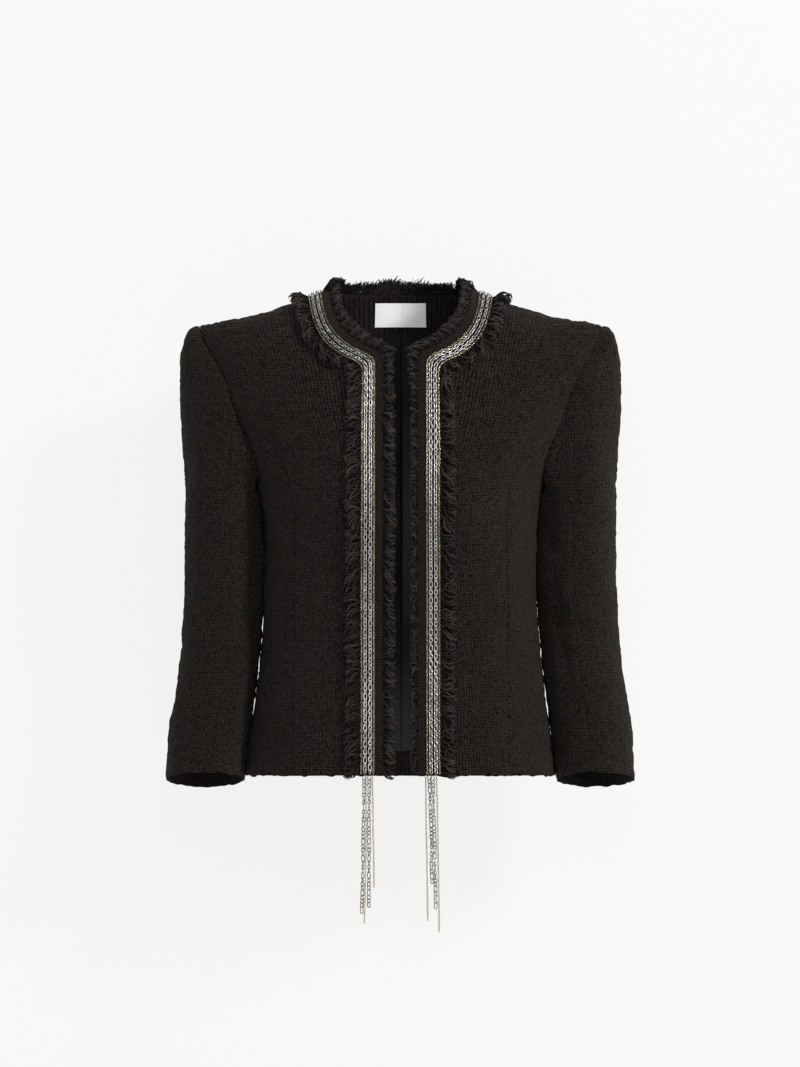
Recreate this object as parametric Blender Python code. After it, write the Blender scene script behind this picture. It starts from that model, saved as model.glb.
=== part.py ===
"""Cropped tweed jacket with a frayed chain trim, standing hollow as it is worn.

Metres, +Z up. The jacket faces -Y, and the wearer's left is +X. The origin is where the wearer
holds the jacket up: in the middle of the neck, level with the shoulders.
Every cloth piece is a wall on one body surface or on the sleeve surface, so seams meet.
"""

import math

import bpy
import numpy as np
from mathutils.bvhtree import BVHTree

CLOTH = 0.002  # tweed with its backing
LINING = 0.001
FACING = 0.0012
LABEL = 0.0008
GAP = 0.0003  # between a piece and what lies on it
SEAM = 0.00022  # how far each edge of a seam is drawn in
COLLECTION = "tweed_jacket"
SPLIT_BY_HEIGHT = 0.37  # how much height counts, against width, in picking a quad's outer corner
ARMHOLE_GAP = 0.0012  # the sleeve head stands a little off the armhole

# Body: half width, and depth in front of and behind the side line, at each height.
BODY_COLUMNS = ("height", "half_width", "front", "back")
BODY_ROWS = (
    (-0.505, 0.1630, 0.1160, 0.1140),
    (-0.460, 0.1580, 0.1110, 0.1040),
    (-0.410, 0.1505, 0.1050, 0.0930),
    (-0.355, 0.1450, 0.1020, 0.0860),
    (-0.300, 0.1424, 0.1060, 0.0880),
    (-0.250, 0.1424, 0.1140, 0.0950),
    (-0.215, 0.1455, 0.1170, 0.1000),
    (-0.190, 0.1520, 0.1160, 0.1040),
    (-0.165, 0.1630, 0.1130, 0.1060),
    (-0.140, 0.1770, 0.1090, 0.1070),
    (-0.115, 0.1910, 0.1050, 0.1070),
    (-0.090, 0.2030, 0.1010, 0.1060),
    (-0.060, 0.2160, 0.0980, 0.1040),
    (-0.030, 0.2280, 0.0960, 0.1020),
    (0.000, 0.2380, 0.0950, 0.1000),
    (0.070, 0.2500, 0.0940, 0.0980),
)
BODY = {name: np.array(column) for name, column in zip(BODY_COLUMNS, zip(*BODY_ROWS))}
SQUARENESS = 0.5  # 0 gives elliptical sections, and more gives flatter fronts
SHOULDER = {"height": 0.030, "slope": 0.30, "neck_rise": 0.035, "neck_reach": 0.045}
ROUND_FROM = -0.190  # the surface starts to close towards the shoulder line here
ROUND_POWER = 2.5
BUST = {"x": 0.072, "height": -0.212, "wide": 0.050, "tall": 0.060, "full": 0.07}

HEM_FRONT, HEM_BACK = -0.4925, -0.5010
SHOULDER_TIP = 0.210  # x of the armhole on the shoulder line
SIDE_SEAM = 92.0  # degrees round the body from the centre front

# Front panel, a row for each station from hem to shoulder: the front edge or neckline, the outer
# edge of the trim band, and the height of the row's end on the princess seam or the armhole.
FRONT_ROWS = (
    # edge_x, edge_z, band_x, band_z, seam_z
    (0.0125, -0.4740, 0.0590, -0.4740, -0.4740),
    (0.0125, -0.4300, 0.0590, -0.4300, -0.4300),
    (0.0125, -0.3850, 0.0590, -0.3850, -0.3850),
    (0.0125, -0.3400, 0.0590, -0.3400, -0.3400),
    (0.0125, -0.2950, 0.0590, -0.2950, -0.2950),
    (0.0125, -0.2550, 0.0590, -0.2550, -0.2550),
    (0.0125, -0.2200, 0.0590, -0.2200, -0.2220),
    (0.0125, -0.1850, 0.0590, -0.1870, -0.1920),
    (0.0125, -0.1520, 0.0590, -0.1560, -0.1680),
    (0.0125, -0.1220, 0.0585, -0.1300, -0.1500),
    (0.0125, -0.0950, 0.0577, -0.1100, -0.1250),
    (0.0128, -0.0730, 0.0572, -0.0950, -0.1050),
    (0.0140, -0.0600, 0.0578, -0.0865, -0.0920),
    (0.0215, -0.0540, 0.0650, -0.0790, -0.0820),
    (0.0370, -0.0460, 0.0770, -0.0735, -0.0730),
    (0.0520, -0.0335, 0.0905, -0.0640, -0.0645),
    (0.0615, -0.0205, 0.1010, -0.0490, -0.0570),
    (0.0662, -0.0065, 0.1080, -0.0310, -0.0495),
    (0.0676, 0.0040, 0.1118, -0.0165, -0.0430),
    (0.0680, 0.0102, 0.1138, -0.0075, -0.0375),
)
NECK_SIDE, BAND_SIDE = 0.0680, 0.1145  # the last row lies on the shoulder line

# Back panel below the neck band: height at the centre back, then at the side seam or armhole.
BACK_ROWS = (
    # centre_z, side_z
    (-0.4740, -0.4740),
    (-0.4300, -0.4300),
    (-0.3850, -0.3850),
    (-0.3400, -0.3400),
    (-0.2950, -0.2950),
    (-0.2550, -0.2550),
    (-0.2220, -0.2220),
    (-0.1900, -0.1950),
    (-0.1650, -0.1915),
    (-0.1420, -0.1820),
    (-0.1200, -0.1650),
    (-0.1000, -0.1480),
    (-0.0800, -0.1300),
    (-0.0600, -0.1120),
)
# Back neck, a row for each station from the centre back to the shoulder line.
NECK_ROWS = (
    # edge_x, edge_z, band_x, band_z, side_z
    (0.0000, 0.0090, 0.0000, -0.0395, -0.0960),
    (0.0180, 0.0088, 0.0280, -0.0390, -0.0850),
    (0.0350, 0.0085, 0.0560, -0.0370, -0.0740),
    (0.0500, 0.0085, 0.0800, -0.0330, -0.0640),
    (0.0600, 0.0085, 0.0990, -0.0245, -0.0540),
    (0.0655, 0.0090, 0.1090, -0.0150, -0.0450),
    (0.0675, 0.0100, 0.1135, -0.0065, -0.0380),
)
UNDERARM_ROW = 8  # the hem is row 0, so this row of the back ends at the underarm

# Princess seam, from the hem to the armhole.
PRINCESS_ROWS = (
    # height, x
    (-0.505, 0.1106),
    (-0.350, 0.1106),
    (-0.225, 0.1106),
    (-0.200, 0.1135),
    (-0.180, 0.1205),
    (-0.165, 0.1340),
    (-0.150, 0.1567),
)
PRINCESS_TOP = -0.150

# Armhole: degrees round the body from the centre front, down the front and up the back.
ARMHOLE_FRONT = (
    # height, degrees
    (-0.195, 92.0),
    (-0.192, 80.0),
    (-0.182, 69.0),
    (-0.165, 63.5),
    (-0.140, 61.3),
    (-0.115, 59.0),
    (-0.090, 57.0),
    (-0.070, 58.5),
    (-0.050, 62.5),
    (-0.033, 63.1),
)
ARMHOLE_BACK = (
    # height, degrees
    (-0.195, 92.0),
    (-0.192, 102.0),
    (-0.182, 111.0),
    (-0.165, 116.0),
    (-0.140, 118.0),
    (-0.115, 120.0),
    (-0.090, 122.0),
    (-0.070, 121.0),
    (-0.050, 117.5),
    (-0.033, 116.9),
)

# Trim band: how far across the band each edge lies, 0 at the panel's edge and 1 at the outside.
BAND_COLUMNS = (0.0, 0.12, 0.29, 0.447, 0.61, 0.80, 1.0)
TAPE = slice(1, 5)
STRANDS = {  # inner and outer edge across the band, and thickness
    "chain_gold_inner": (0.2945, 0.335, 0.0018),
    "chain_silver_inner": (0.3435, 0.4425, 0.0026),
    "chain_silver_outer": (0.4515, 0.5500, 0.0026),
    "chain_gold_outer": (0.5587, 0.600, 0.0018),
}
TAPE_THICKNESS = 0.0012
CHAIN_END_OUT = 0.0032  # how far in front of the panel the free ends start
FRINGE_STANDS = 0.0070  # how far a fringe stands off the panel
FRINGE_LIFT = 0.0008
# How far the edge fringe reaches past the edge, at a height, on the front and on the back neck.
REACH_HEIGHTS = (-0.505, -0.090, -0.060, -0.020, 0.010)
REACH_FRONT = (0.0060, 0.0060, 0.0080, 0.0095, 0.0120)
REACH_BACK = 0.0190

# Sleeve below its head: centre, half sizes, and how far the front of the ring is lifted.
SLEEVE_COLUMNS = ("height", "x", "y", "half_width", "half_depth", "tilt")
SLEEVE_ROWS = (
    (-0.501, 0.2047, -0.012, 0.0402, 0.0500, 0.196),
    (-0.455, 0.1998, -0.004, 0.0412, 0.0505, 0.160),
    (-0.410, 0.1940, 0.004, 0.0415, 0.0510, 0.110),
    (-0.360, 0.1888, 0.010, 0.0417, 0.0520, 0.060),
    (-0.310, 0.1860, 0.012, 0.0415, 0.0540, 0.020),
    (-0.260, 0.1854, 0.010, 0.0403, 0.0565, 0.000),
    (-0.215, 0.1871, 0.006, 0.0386, 0.0600, 0.000),
)
SLEEVE = {name: np.array(column) for name, column in zip(SLEEVE_COLUMNS, zip(*SLEEVE_ROWS))}
SLEEVE_STEPS = (0.0, 0.07, 0.18, 0.34, 0.52, 0.72, 1.0, 1.16, 1.33, 1.5, 1.67, 1.84, 2.0)
FRONT_SEAM, BACK_SEAM = 98.0, -95.0  # degrees round the sleeve from its outside, front positive
SLEEVE_COLUMNS_EACH = 11

# Free chain ends: height of the bottom, radius, how far the end hangs in front of the sewn chain,
# and x at even steps down from the hem.
CHAIN_ENDS = {
    "chain_end_gold_outer_right": {
        "bottom": -0.6441, "radius": 0.0009, "forward": 0.0045,
        "x": (-0.0354, -0.0353, -0.0352, -0.0351, -0.0350, -0.0350, -0.0351, -0.0353,
              -0.0355, -0.0357, -0.0359, -0.0361, -0.0364, -0.0367, -0.0370),
    },
    "chain_end_silver_outer_right": {
        "bottom": -0.6348, "radius": 0.0020, "forward": 0.0,
        "x": (-0.0371, -0.0372, -0.0374, -0.0376, -0.0377, -0.0379, -0.0380, -0.0381,
              -0.0382, -0.0383, -0.0385, -0.0387, -0.0390, -0.0393, -0.0396),
    },
    "chain_end_silver_inner_right": {
        "bottom": -0.6284, "radius": 0.0020, "forward": 0.0,
        "x": (-0.0320, -0.0320, -0.0320, -0.0320, -0.0321, -0.0322, -0.0322, -0.0321,
              -0.0320, -0.0321, -0.0322, -0.0323, -0.0323, -0.0323, -0.0323),
    },
    "chain_end_gold_inner_right": {
        "bottom": -0.6082, "radius": 0.0009, "forward": 0.0,
        "x": (-0.0289, -0.0288, -0.0286, -0.0284, -0.0283, -0.0282, -0.0281, -0.0280,
              -0.0278, -0.0276, -0.0274, -0.0273, -0.0272, -0.0272, -0.0271),
    },
    "chain_end_gold_inner_left": {
        "bottom": -0.6421, "radius": 0.0009, "forward": 0.0,
        "x": (0.0256, 0.0258, 0.0260, 0.0261, 0.0262, 0.0264, 0.0265, 0.0267,
              0.0269, 0.0270, 0.0272, 0.0274, 0.0276, 0.0278, 0.0279),
    },
    "chain_end_silver_inner_left": {
        "bottom": -0.6042, "radius": 0.0020, "forward": 0.0,
        "x": (0.0291, 0.0295, 0.0299, 0.0302, 0.0305, 0.0308, 0.0312, 0.0315,
              0.0316, 0.0316, 0.0316, 0.0316, 0.0318, 0.0321, 0.0324),
    },
    "chain_end_silver_outer_left": {
        "bottom": -0.6301, "radius": 0.0020, "forward": 0.0030,
        "x": (0.0328, 0.0332, 0.0335, 0.0338, 0.0340, 0.0343, 0.0346, 0.0349,
              0.0351, 0.0353, 0.0355, 0.0357, 0.0358, 0.0359, 0.0360),
    },
    "chain_end_gold_outer_left": {
        "bottom": -0.6537, "radius": 0.0009, "forward": 0.0,
        "x": (0.0366, 0.0370, 0.0373, 0.0376, 0.0378, 0.0380, 0.0382, 0.0384,
              0.0386, 0.0388, 0.0390, 0.0391, 0.0393, 0.0394, 0.0395),
    },
}

COLOURS = {  # colour, roughness, metallic
    "tweed": ((0.018, 0.016, 0.015, 1.0), 0.95, 0.0),
    "fringe": ((0.012, 0.011, 0.010, 1.0), 1.0, 0.0),
    "lining": ((0.006, 0.006, 0.007, 1.0), 0.45, 0.0),
    "label": ((0.85, 0.85, 0.84, 1.0), 0.7, 0.0),
    "silver": ((0.62, 0.62, 0.60, 1.0), 0.25, 1.0),
    "gold": ((0.62, 0.52, 0.30, 1.0), 0.3, 1.0),
}


# The body surface


def smooth(keys, values, at):
    """A smooth curve through the values at the keys, which rise, read at one or many places."""
    keys, values = np.asarray(keys, float), np.asarray(values, float)
    slopes = np.gradient(values, keys)
    at = np.clip(at, keys[0], keys[-1])
    i = np.clip(np.searchsorted(keys, at) - 1, 0, len(keys) - 2)
    step = keys[i + 1] - keys[i]
    t = (at - keys[i]) / step
    ends = (2 * t**3 - 3 * t**2 + 1) * values[i] + (3 * t**2 - 2 * t**3) * values[i + 1]
    return ends + step * ((t**3 - 2 * t**2 + t) * slopes[i] + (t**3 - t**2) * slopes[i + 1])


def body_size(name, z):
    return smooth(BODY["height"], BODY[name], z)


def ridge_height(x):
    """Height of the shoulder line; between the shoulders it only guides the surface."""
    neck = SHOULDER["neck_rise"] * np.exp(-((np.abs(x) / SHOULDER["neck_reach"]) ** 2))
    return SHOULDER["height"] - SHOULDER["slope"] * np.abs(x) + neck


def depth_at(x, z, behind):
    """Depth of the body in front of or behind its side line, before it rounds off."""
    across = (np.abs(x) - BUST["x"]) / BUST["wide"]
    up = (z - BUST["height"]) / BUST["tall"]
    bust = 1 + BUST["full"] * np.exp(-(across**2) - up**2)
    return np.where(behind, body_size("back", z), body_size("front", z) * bust)


def side_share(x, z):
    """0 at the centre line and 1 at the side of the body."""
    q = np.abs(x) / body_size("half_width", z)
    return (1 - SQUARENESS) * q**2 + SQUARENESS * q**4


def rounding(x, z):
    """1 below the chest, falling to 0 on the shoulder line."""
    t = np.clip((z - ROUND_FROM) / (ridge_height(x) - ROUND_FROM), 0, None)
    return 1 - t**ROUND_POWER


def body_level(points):
    """0 on the body surface, negative inside it."""
    x, y, z = points[..., 0], points[..., 1], points[..., 2]
    across = (y / depth_at(x, z, y > 0)) ** 2
    return across - (1 - side_share(x, z)) * rounding(x, z)


def body_slope(points):
    step = 1e-5
    slopes = []
    for axis in range(3):
        move = np.zeros(3)
        move[axis] = step
        slopes.append((body_level(points + move) - body_level(points - move)) / (2 * step))
    return np.stack(slopes, axis=-1)


def body_normals(points):
    slope = body_slope(points)
    return slope / np.linalg.norm(slope, axis=-1, keepdims=True)


def on_body(points):
    """The points moved straight onto the body surface."""
    points = np.array(points, float)
    for _ in range(8):
        slope = body_slope(points)
        length = np.sum(slope**2, axis=-1, keepdims=True)
        points = points - body_level(points)[..., None] * slope / length
    return points


def sheet_point(x, z, behind):
    """The point of the front or back of the body at x and height z."""
    share = (1 - side_share(x, z)) * rounding(x, z)
    y = depth_at(x, z, behind) * np.sqrt(np.clip(share, 0, None))
    return np.array([x, y if behind else -y, z])


def ridge_point(x):
    return np.array([x, 0.0, ridge_height(x)])


def round_point(degrees, z):
    """The point at an angle round the body from the centre front."""
    sine = math.sin(math.radians(degrees)) ** 2
    flat = 1 - SQUARENESS
    q = math.sqrt((math.sqrt(flat**2 + 4 * SQUARENESS * sine) - flat) / (2 * SQUARENESS))
    x = body_size("half_width", z) * q
    behind = degrees > 90
    y = depth_at(x, z, behind) * abs(math.cos(math.radians(degrees)))
    y *= math.sqrt(max(rounding(x, z), 0))
    return np.array([x, y if behind else -y, z])


def round_angle(point):
    """The angle of a point round the body from the centre front, in degrees."""
    share = float(np.clip(side_share(point[0], point[2]), 0, 1))
    angle = math.degrees(math.asin(math.sqrt(share)))
    return 180 - angle if point[1] > 0 else angle


def hem_height(degrees):
    drop = (1 - math.cos(math.radians(degrees))) / 2
    return HEM_FRONT + (HEM_BACK - HEM_FRONT) * drop


def table_value(rows, at):
    keys, values = zip(*rows)
    return float(smooth(keys, values, at))


# Rows of the panels


def round_row(start, end, columns):
    """Points on the body from one point to another, stepping evenly in angle and height."""
    angles = np.linspace(round_angle(start), round_angle(end), columns)
    heights = np.linspace(start[2], end[2], columns)
    row = [round_point(angle, z) for angle, z in zip(angles, heights)]
    row[0], row[-1] = start, end
    return row


def ridge_row(start, end, columns):
    return [ridge_point(x) for x in np.linspace(start, end, columns)]


def hem_row(start, end, columns):
    angles = np.linspace(start, end, columns)
    return [round_point(angle, hem_height(angle)) for angle in angles]


def band_row(edge, outside):
    """Points across the trim band, from the panel's edge to the outside of the band."""
    share = np.array(BAND_COLUMNS)[:, None]
    return list(on_body(edge * (1 - share) + outside * share))


def front_seam_point(z):
    """The end of a front row: on the princess seam, or above it on the armhole."""
    if z <= PRINCESS_TOP:
        return sheet_point(table_value(PRINCESS_ROWS, z), z, False)
    return round_point(table_value(ARMHOLE_FRONT, z), z)


def front_rows():
    """The trim band and the rest of a front panel, each row from the edge to the seam."""
    bands, rests = [], []
    columns = 6
    for edge_x, edge_z, band_x, band_z, seam_z in FRONT_ROWS:
        band = band_row(sheet_point(edge_x, edge_z, False), sheet_point(band_x, band_z, False))
        bands.append(band)
        rests.append(round_row(band[-1], front_seam_point(seam_z), columns))
    hem = []
    for above in bands[0]:
        hem.append(sheet_point(above[0], hem_height(round_angle(above)), False))
    seam = front_seam_point(HEM_FRONT)
    hem_rest = hem_row(round_angle(hem[-1]), round_angle(seam), columns)
    hem_rest[0] = hem[-1]
    bands.insert(0, hem)
    rests.insert(0, hem_rest)
    bands.append(band_row(ridge_point(NECK_SIDE), ridge_point(BAND_SIDE)))
    rests.append(ridge_row(BAND_SIDE, SHOULDER_TIP, columns))
    return np.array(bands), np.array(rests)


def armhole_degrees_behind(row, side_z):
    return SIDE_SEAM if row <= UNDERARM_ROW else table_value(ARMHOLE_BACK, side_z)


def back_rows():
    """The back below its neck band, each row from the centre or the band to the side."""
    columns = 7
    rows = [hem_row(180, SIDE_SEAM, columns)]
    for number, (centre_z, side_z) in enumerate(BACK_ROWS, start=1):
        side = round_point(armhole_degrees_behind(number, side_z), side_z)
        rows.append(round_row(sheet_point(0.0, centre_z, True), side, columns))
    for _, _, band_x, band_z, side_z in NECK_ROWS:
        side = round_point(table_value(ARMHOLE_BACK, side_z), side_z)
        rows.append(round_row(sheet_point(band_x, band_z, True), side, columns))
    rows.append(ridge_row(BAND_SIDE, SHOULDER_TIP, columns))
    return np.array(rows)


def neck_rows():
    """The trim band of the back neck, from the centre back to the shoulder line."""
    rows = []
    for edge_x, edge_z, band_x, band_z, _ in NECK_ROWS:
        rows.append(band_row(sheet_point(edge_x, edge_z, True), sheet_point(band_x, band_z, True)))
    rows.append(band_row(ridge_point(NECK_SIDE), ridge_point(BAND_SIDE)))
    return np.array(rows)


def side_front_rows():
    """The side front, whose top edge is the bottom of the armhole."""
    columns = 6
    top_start = front_seam_point(PRINCESS_TOP)
    angles = np.linspace(round_angle(top_start), SIDE_SEAM, columns)
    heights, degrees = zip(*reversed([row for row in ARMHOLE_FRONT if row[0] <= PRINCESS_TOP]))
    heights = (PRINCESS_TOP, *heights)
    degrees = (round_angle(top_start), *degrees)
    top = smooth(degrees, heights, angles)
    hem = hem_height(round_angle(front_seam_point(HEM_FRONT)))
    seams = [hem] + [row[4] for row in FRONT_ROWS if row[4] <= PRINCESS_TOP]
    rows = []
    for seam_z in seams:
        v = (seam_z - hem) / (PRINCESS_TOP - hem)
        first = round_angle(front_seam_point(seam_z))
        row = []
        for u, top_z in zip(np.linspace(0, 1, columns), top):
            angle = first * (1 - u) + SIDE_SEAM * u
            z = hem_height(angle) * (1 - v) + top_z * v
            row.append(round_point(angle, z))
        rows.append(row)
    return np.array(rows)


# The sleeve surface


def armhole_loop(table):
    """Half of the armhole, from the shoulder tip to the underarm."""
    heights, degrees = zip(*table)
    turn = np.linspace(0, 1, 60)
    keys = np.linspace(0, 1, len(table))
    points = [ridge_point(SHOULDER_TIP)]
    for t in turn[1:]:
        z = float(smooth(keys, heights[::-1], t))
        points.append(round_point(float(smooth(keys, degrees[::-1], t)), z))
    points = np.array(points)
    lengths = np.concatenate([[0], np.cumsum(np.linalg.norm(np.diff(points, axis=0), axis=1))])
    return points, lengths / lengths[-1]


LOOPS = (armhole_loop(ARMHOLE_FRONT), armhole_loop(ARMHOLE_BACK))


def loop_point(degrees):
    """The armhole at an angle round the sleeve: 0 on the shoulder, 90 in front, 180 below."""
    degrees = (degrees + 180) % 360 - 180
    points, shares = LOOPS[0] if degrees >= 0 else LOOPS[1]
    share = abs(degrees) / 180
    return np.array([np.interp(share, shares, points[:, axis]) for axis in range(3)])


def sleeve_size(name, z):
    return smooth(SLEEVE["height"], SLEEVE[name], z)


def sleeve_ring(degrees, z):
    cosine, sine = math.cos(math.radians(degrees)), math.sin(math.radians(degrees))
    depth = sleeve_size("half_depth", z)
    return np.array(
        [
            sleeve_size("x", z) + sleeve_size("half_width", z) * cosine,
            sleeve_size("y", z) - depth * sine,
            z + sleeve_size("tilt", z) * depth * sine,
        ]
    )


def sleeve_point(degrees, step):
    """The sleeve surface: steps 0 to 1 are the head, from the armhole, and 1 to 2 the rest."""
    top, bottom = SLEEVE["height"][-1], SLEEVE["height"][0]
    if step > 1:
        return sleeve_ring(degrees, top + (bottom - top) * (step - 1))
    cosine, sine = math.cos(math.radians(degrees)), math.sin(math.radians(degrees))
    up, down = max(cosine, 0), max(-cosine, 0)
    leave = up * np.array([1, 0, 0.08]) + down * np.array([0.25, 0, -1])
    leave = leave + np.array([0.8 * abs(sine), -0.45 * sine, -0.35 * abs(sine)])
    leave = leave / np.linalg.norm(leave)
    start = loop_point(degrees) + ARMHOLE_GAP * leave
    end = sleeve_ring(degrees, top)
    out = start + (0.020 + 0.016 * up - 0.012 * down) * leave
    above = end + np.array([0, 0, 0.045 + 0.035 * up - 0.033 * down])
    t = step
    return (
        start * (1 - t) ** 3
        + out * 3 * t * (1 - t) ** 2
        + above * 3 * t**2 * (1 - t)
        + end * t**3
    )


def sleeve_normal(degrees, step):
    turn, move = 0.5, 0.004
    across = sleeve_point(degrees + turn, step) - sleeve_point(degrees - turn, step)
    low, high = max(step - move, 0), min(step + move, 2)
    if low < 1 < high:
        low, high = 1 - move, 1
    down = sleeve_point(degrees, high) - sleeve_point(degrees, low)
    normal = np.cross(across, down)
    return normal / np.linalg.norm(normal)


def sleeve_sheet(first, last):
    """Points and normals of the sleeve between two angles, with a seam gap at each."""
    points, normals = [], []
    trim = math.degrees(SEAM / SLEEVE["half_depth"].min())
    for step in SLEEVE_STEPS:
        angles = np.linspace(first + trim, last - trim, SLEEVE_COLUMNS_EACH)
        points.append([sleeve_point(angle, step) for angle in angles])
        normals.append([sleeve_normal(angle, step) for angle in angles])
    return np.array(points), np.array(normals)


# Walls


def inset(points, first_row=False, last_row=False, first_column=False, last_column=False):
    """Draws the chosen edges of a sheet in, to leave a seam gap."""
    points = points.copy()

    def draw(edge, inner):
        toward = inner - edge
        return edge + SEAM * toward / np.linalg.norm(toward, axis=-1, keepdims=True)

    if first_row:
        points[0] = draw(points[0], points[1])
    if last_row:
        points[-1] = draw(points[-1], points[-2])
    if first_column:
        points[:, 0] = draw(points[:, 0], points[:, 1])
    if last_column:
        points[:, -1] = draw(points[:, -1], points[:, -2])
    return points


def off_centre(points):
    """Moves the points on the centre line off it, to leave a seam gap there."""
    points = points.copy()
    points[..., 0] = np.maximum(points[..., 0], SEAM)
    return points


def mirrored(sheet):
    """A sheet on the other side of the body, with its columns turned so it still faces out."""
    points, normals = sheet
    flip = np.array([-1.0, 1.0, 1.0])
    return points[:, ::-1] * flip, normals[:, ::-1] * flip


def body_sheet(points):
    return points, body_normals(points)


def material_of(name):
    material = bpy.data.materials.get(name)
    if material:
        return material
    colour, roughness, metallic = COLOURS[name]
    material = bpy.data.materials.new(name)
    material.use_nodes = True
    shader = material.node_tree.nodes["Principled BSDF"]
    shader.inputs["Base Color"].default_value = colour
    shader.inputs["Roughness"].default_value = roughness
    shader.inputs["Metallic"].default_value = metallic
    material.diffuse_color = colour
    return material


def two_triangles(corners, points):
    """Splits a quad through its outermost corner, so that pieces laid on each other match."""
    reach = [abs(points[n][0]) + SPLIT_BY_HEIGHT * points[n][2] for n in corners]
    first = reach.index(max(reach))
    a, b, c, d = [int(corners[(first + step) % 4]) for step in range(4)]
    return [face for face in ([a, b, c], [a, c, d]) if len(set(face)) == 3]


def wall(name, sheets, low, high, finish):
    """A closed wall on one or more joined sheets, from one distance off them to another."""
    index, points, normals, faces = {}, [], [], []
    for sheet_points, sheet_normals in sheets:
        rows, columns = sheet_points.shape[:2]
        numbers = np.zeros((rows, columns), int)
        for r in range(rows):
            for c in range(columns):
                key = tuple(int(round(value * 1e6)) for value in sheet_points[r, c])
                if key not in index:
                    index[key] = len(points)
                    points.append(sheet_points[r, c])
                    normals.append(sheet_normals[r, c])
                numbers[r, c] = index[key]
        for r in range(rows - 1):
            for c in range(columns - 1):
                near = (numbers[r, c], numbers[r, c + 1])
                far = (numbers[r + 1, c + 1], numbers[r + 1, c])
                faces.extend(two_triangles(near + far, points))
    points, normals = np.array(points), np.array(normals)
    outward = 0.0
    for face in faces:
        a, b, c = points[face[0]], points[face[1]], points[face[2]]
        outward += float(np.dot(np.cross(b - a, c - a), normals[face[0]]))
    if outward < 0:
        faces = [face[::-1] for face in faces]
    edges = {(a, b) for face in faces for a, b in zip(face, face[1:] + face[:1])}
    count = len(points)
    shell = faces + [[n + count for n in face[::-1]] for face in faces]
    rims = [(a, b) for a, b in sorted(edges) if (b, a) not in edges]
    shell += [[b, a, a + count, b + count] for a, b in rims]
    corners = np.concatenate([points + normals * high, points + normals * low])
    mesh = bpy.data.meshes.new(name)
    mesh.from_pydata([tuple(point) for point in corners], [], shell)
    mesh.materials.append(material_of(finish))
    piece = bpy.data.objects.new(name, mesh)
    bpy.data.collections[COLLECTION].objects.link(piece)
    return piece


# Pieces


def clear_scene():
    for thing in list(bpy.data.objects):
        bpy.data.objects.remove(thing)
    collection = bpy.data.collections.new(COLLECTION)
    bpy.context.scene.collection.children.link(collection)


def build_fronts(bands, rests):
    band = inset(bands, last_row=True)
    rest = inset(rests, last_row=True, last_column=True)
    sheets = [body_sheet(band), body_sheet(rest)]
    wall("front_left", sheets, -CLOTH, 0, "tweed")
    wall("front_right", [mirrored(sheet) for sheet in sheets], -CLOTH, 0, "tweed")
    sides = body_sheet(inset(side_front_rows(), first_column=True, last_column=True, last_row=True))
    wall("side_front_left", [sides], -CLOTH, 0, "tweed")
    wall("side_front_right", [mirrored(sides)], -CLOTH, 0, "tweed")


def build_back(rests, necks):
    """Two halves that meet in the centre back seam."""
    rest = body_sheet(off_centre(inset(rests, last_row=True, last_column=True)))
    neck = body_sheet(off_centre(inset(necks, last_row=True)))
    wall("back_left", [rest, neck], -CLOTH, 0, "tweed")
    wall("back_right", [mirrored(rest), mirrored(neck)], -CLOTH, 0, "tweed")


def build_inside(rests, necks):
    """Facings, lining and label, each laid on the one behind it."""
    under = -CLOTH - GAP
    neck = body_sheet(inset(necks[:, :6], last_row=True, first_column=True, last_column=True))
    sheets = [neck, mirrored(neck)]
    facing = wall("facing_neck", sheets, under - FACING, under, "tweed")
    hem = body_sheet(inset(rests[:2], last_row=True, last_column=True))
    wall("facing_hem", [hem, mirrored(hem)], under - FACING, under, "tweed")
    lower = body_sheet(inset(rests[1:-3, :6], first_row=True))
    upper = body_sheet(inset(necks[:-3, 5:], first_column=True))
    sheets = [lower, upper, mirrored(lower), mirrored(upper)]
    wall("lining_back", sheets, under - LINING, under, "lining")
    build_label(facing, necks)


def build_label(facing, necks):
    """A plain label on the neck facing, bent where the facing bends."""
    half_width, top, bottom = 0.0285, 0.0002, -0.0230
    tree = BVHTree.FromPolygons(
        [vertex.co[:] for vertex in facing.data.vertices],
        [polygon.vertices[:] for polygon in facing.data.polygons],
    )
    heights = (top, (top + bottom) / 2, bottom)
    bends = []
    for z in heights:
        share = (necks[1, 0, 2] - z) / (necks[1, 0, 2] - necks[1, -1, 2])
        bends.append(necks[1, 0, 0] + (necks[1, -1, 0] - necks[1, 0, 0]) * share)
    rows = []
    for z, bend in zip(heights, bends):
        row = []
        for x in (-half_width, -bend, 0.0, bend, half_width):
            hit = tree.ray_cast((x, -0.02, z), (0, 1, 0))[0]
            row.append([x, hit.y - 2 * GAP, z])
        rows.append(row)
    points = np.array(rows)
    normals = body_normals(points)
    wall("label", [(points, normals)], -LABEL, 0, "label")


def trim_run(bands, necks):
    """Points of the trim band from one hem, round the neck, to the other."""
    half = np.concatenate([bands, necks[-2::-1]])
    other = half[:-1] * np.array([-1.0, 1.0, 1.0])
    return np.concatenate([half, other[::-1]])


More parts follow.
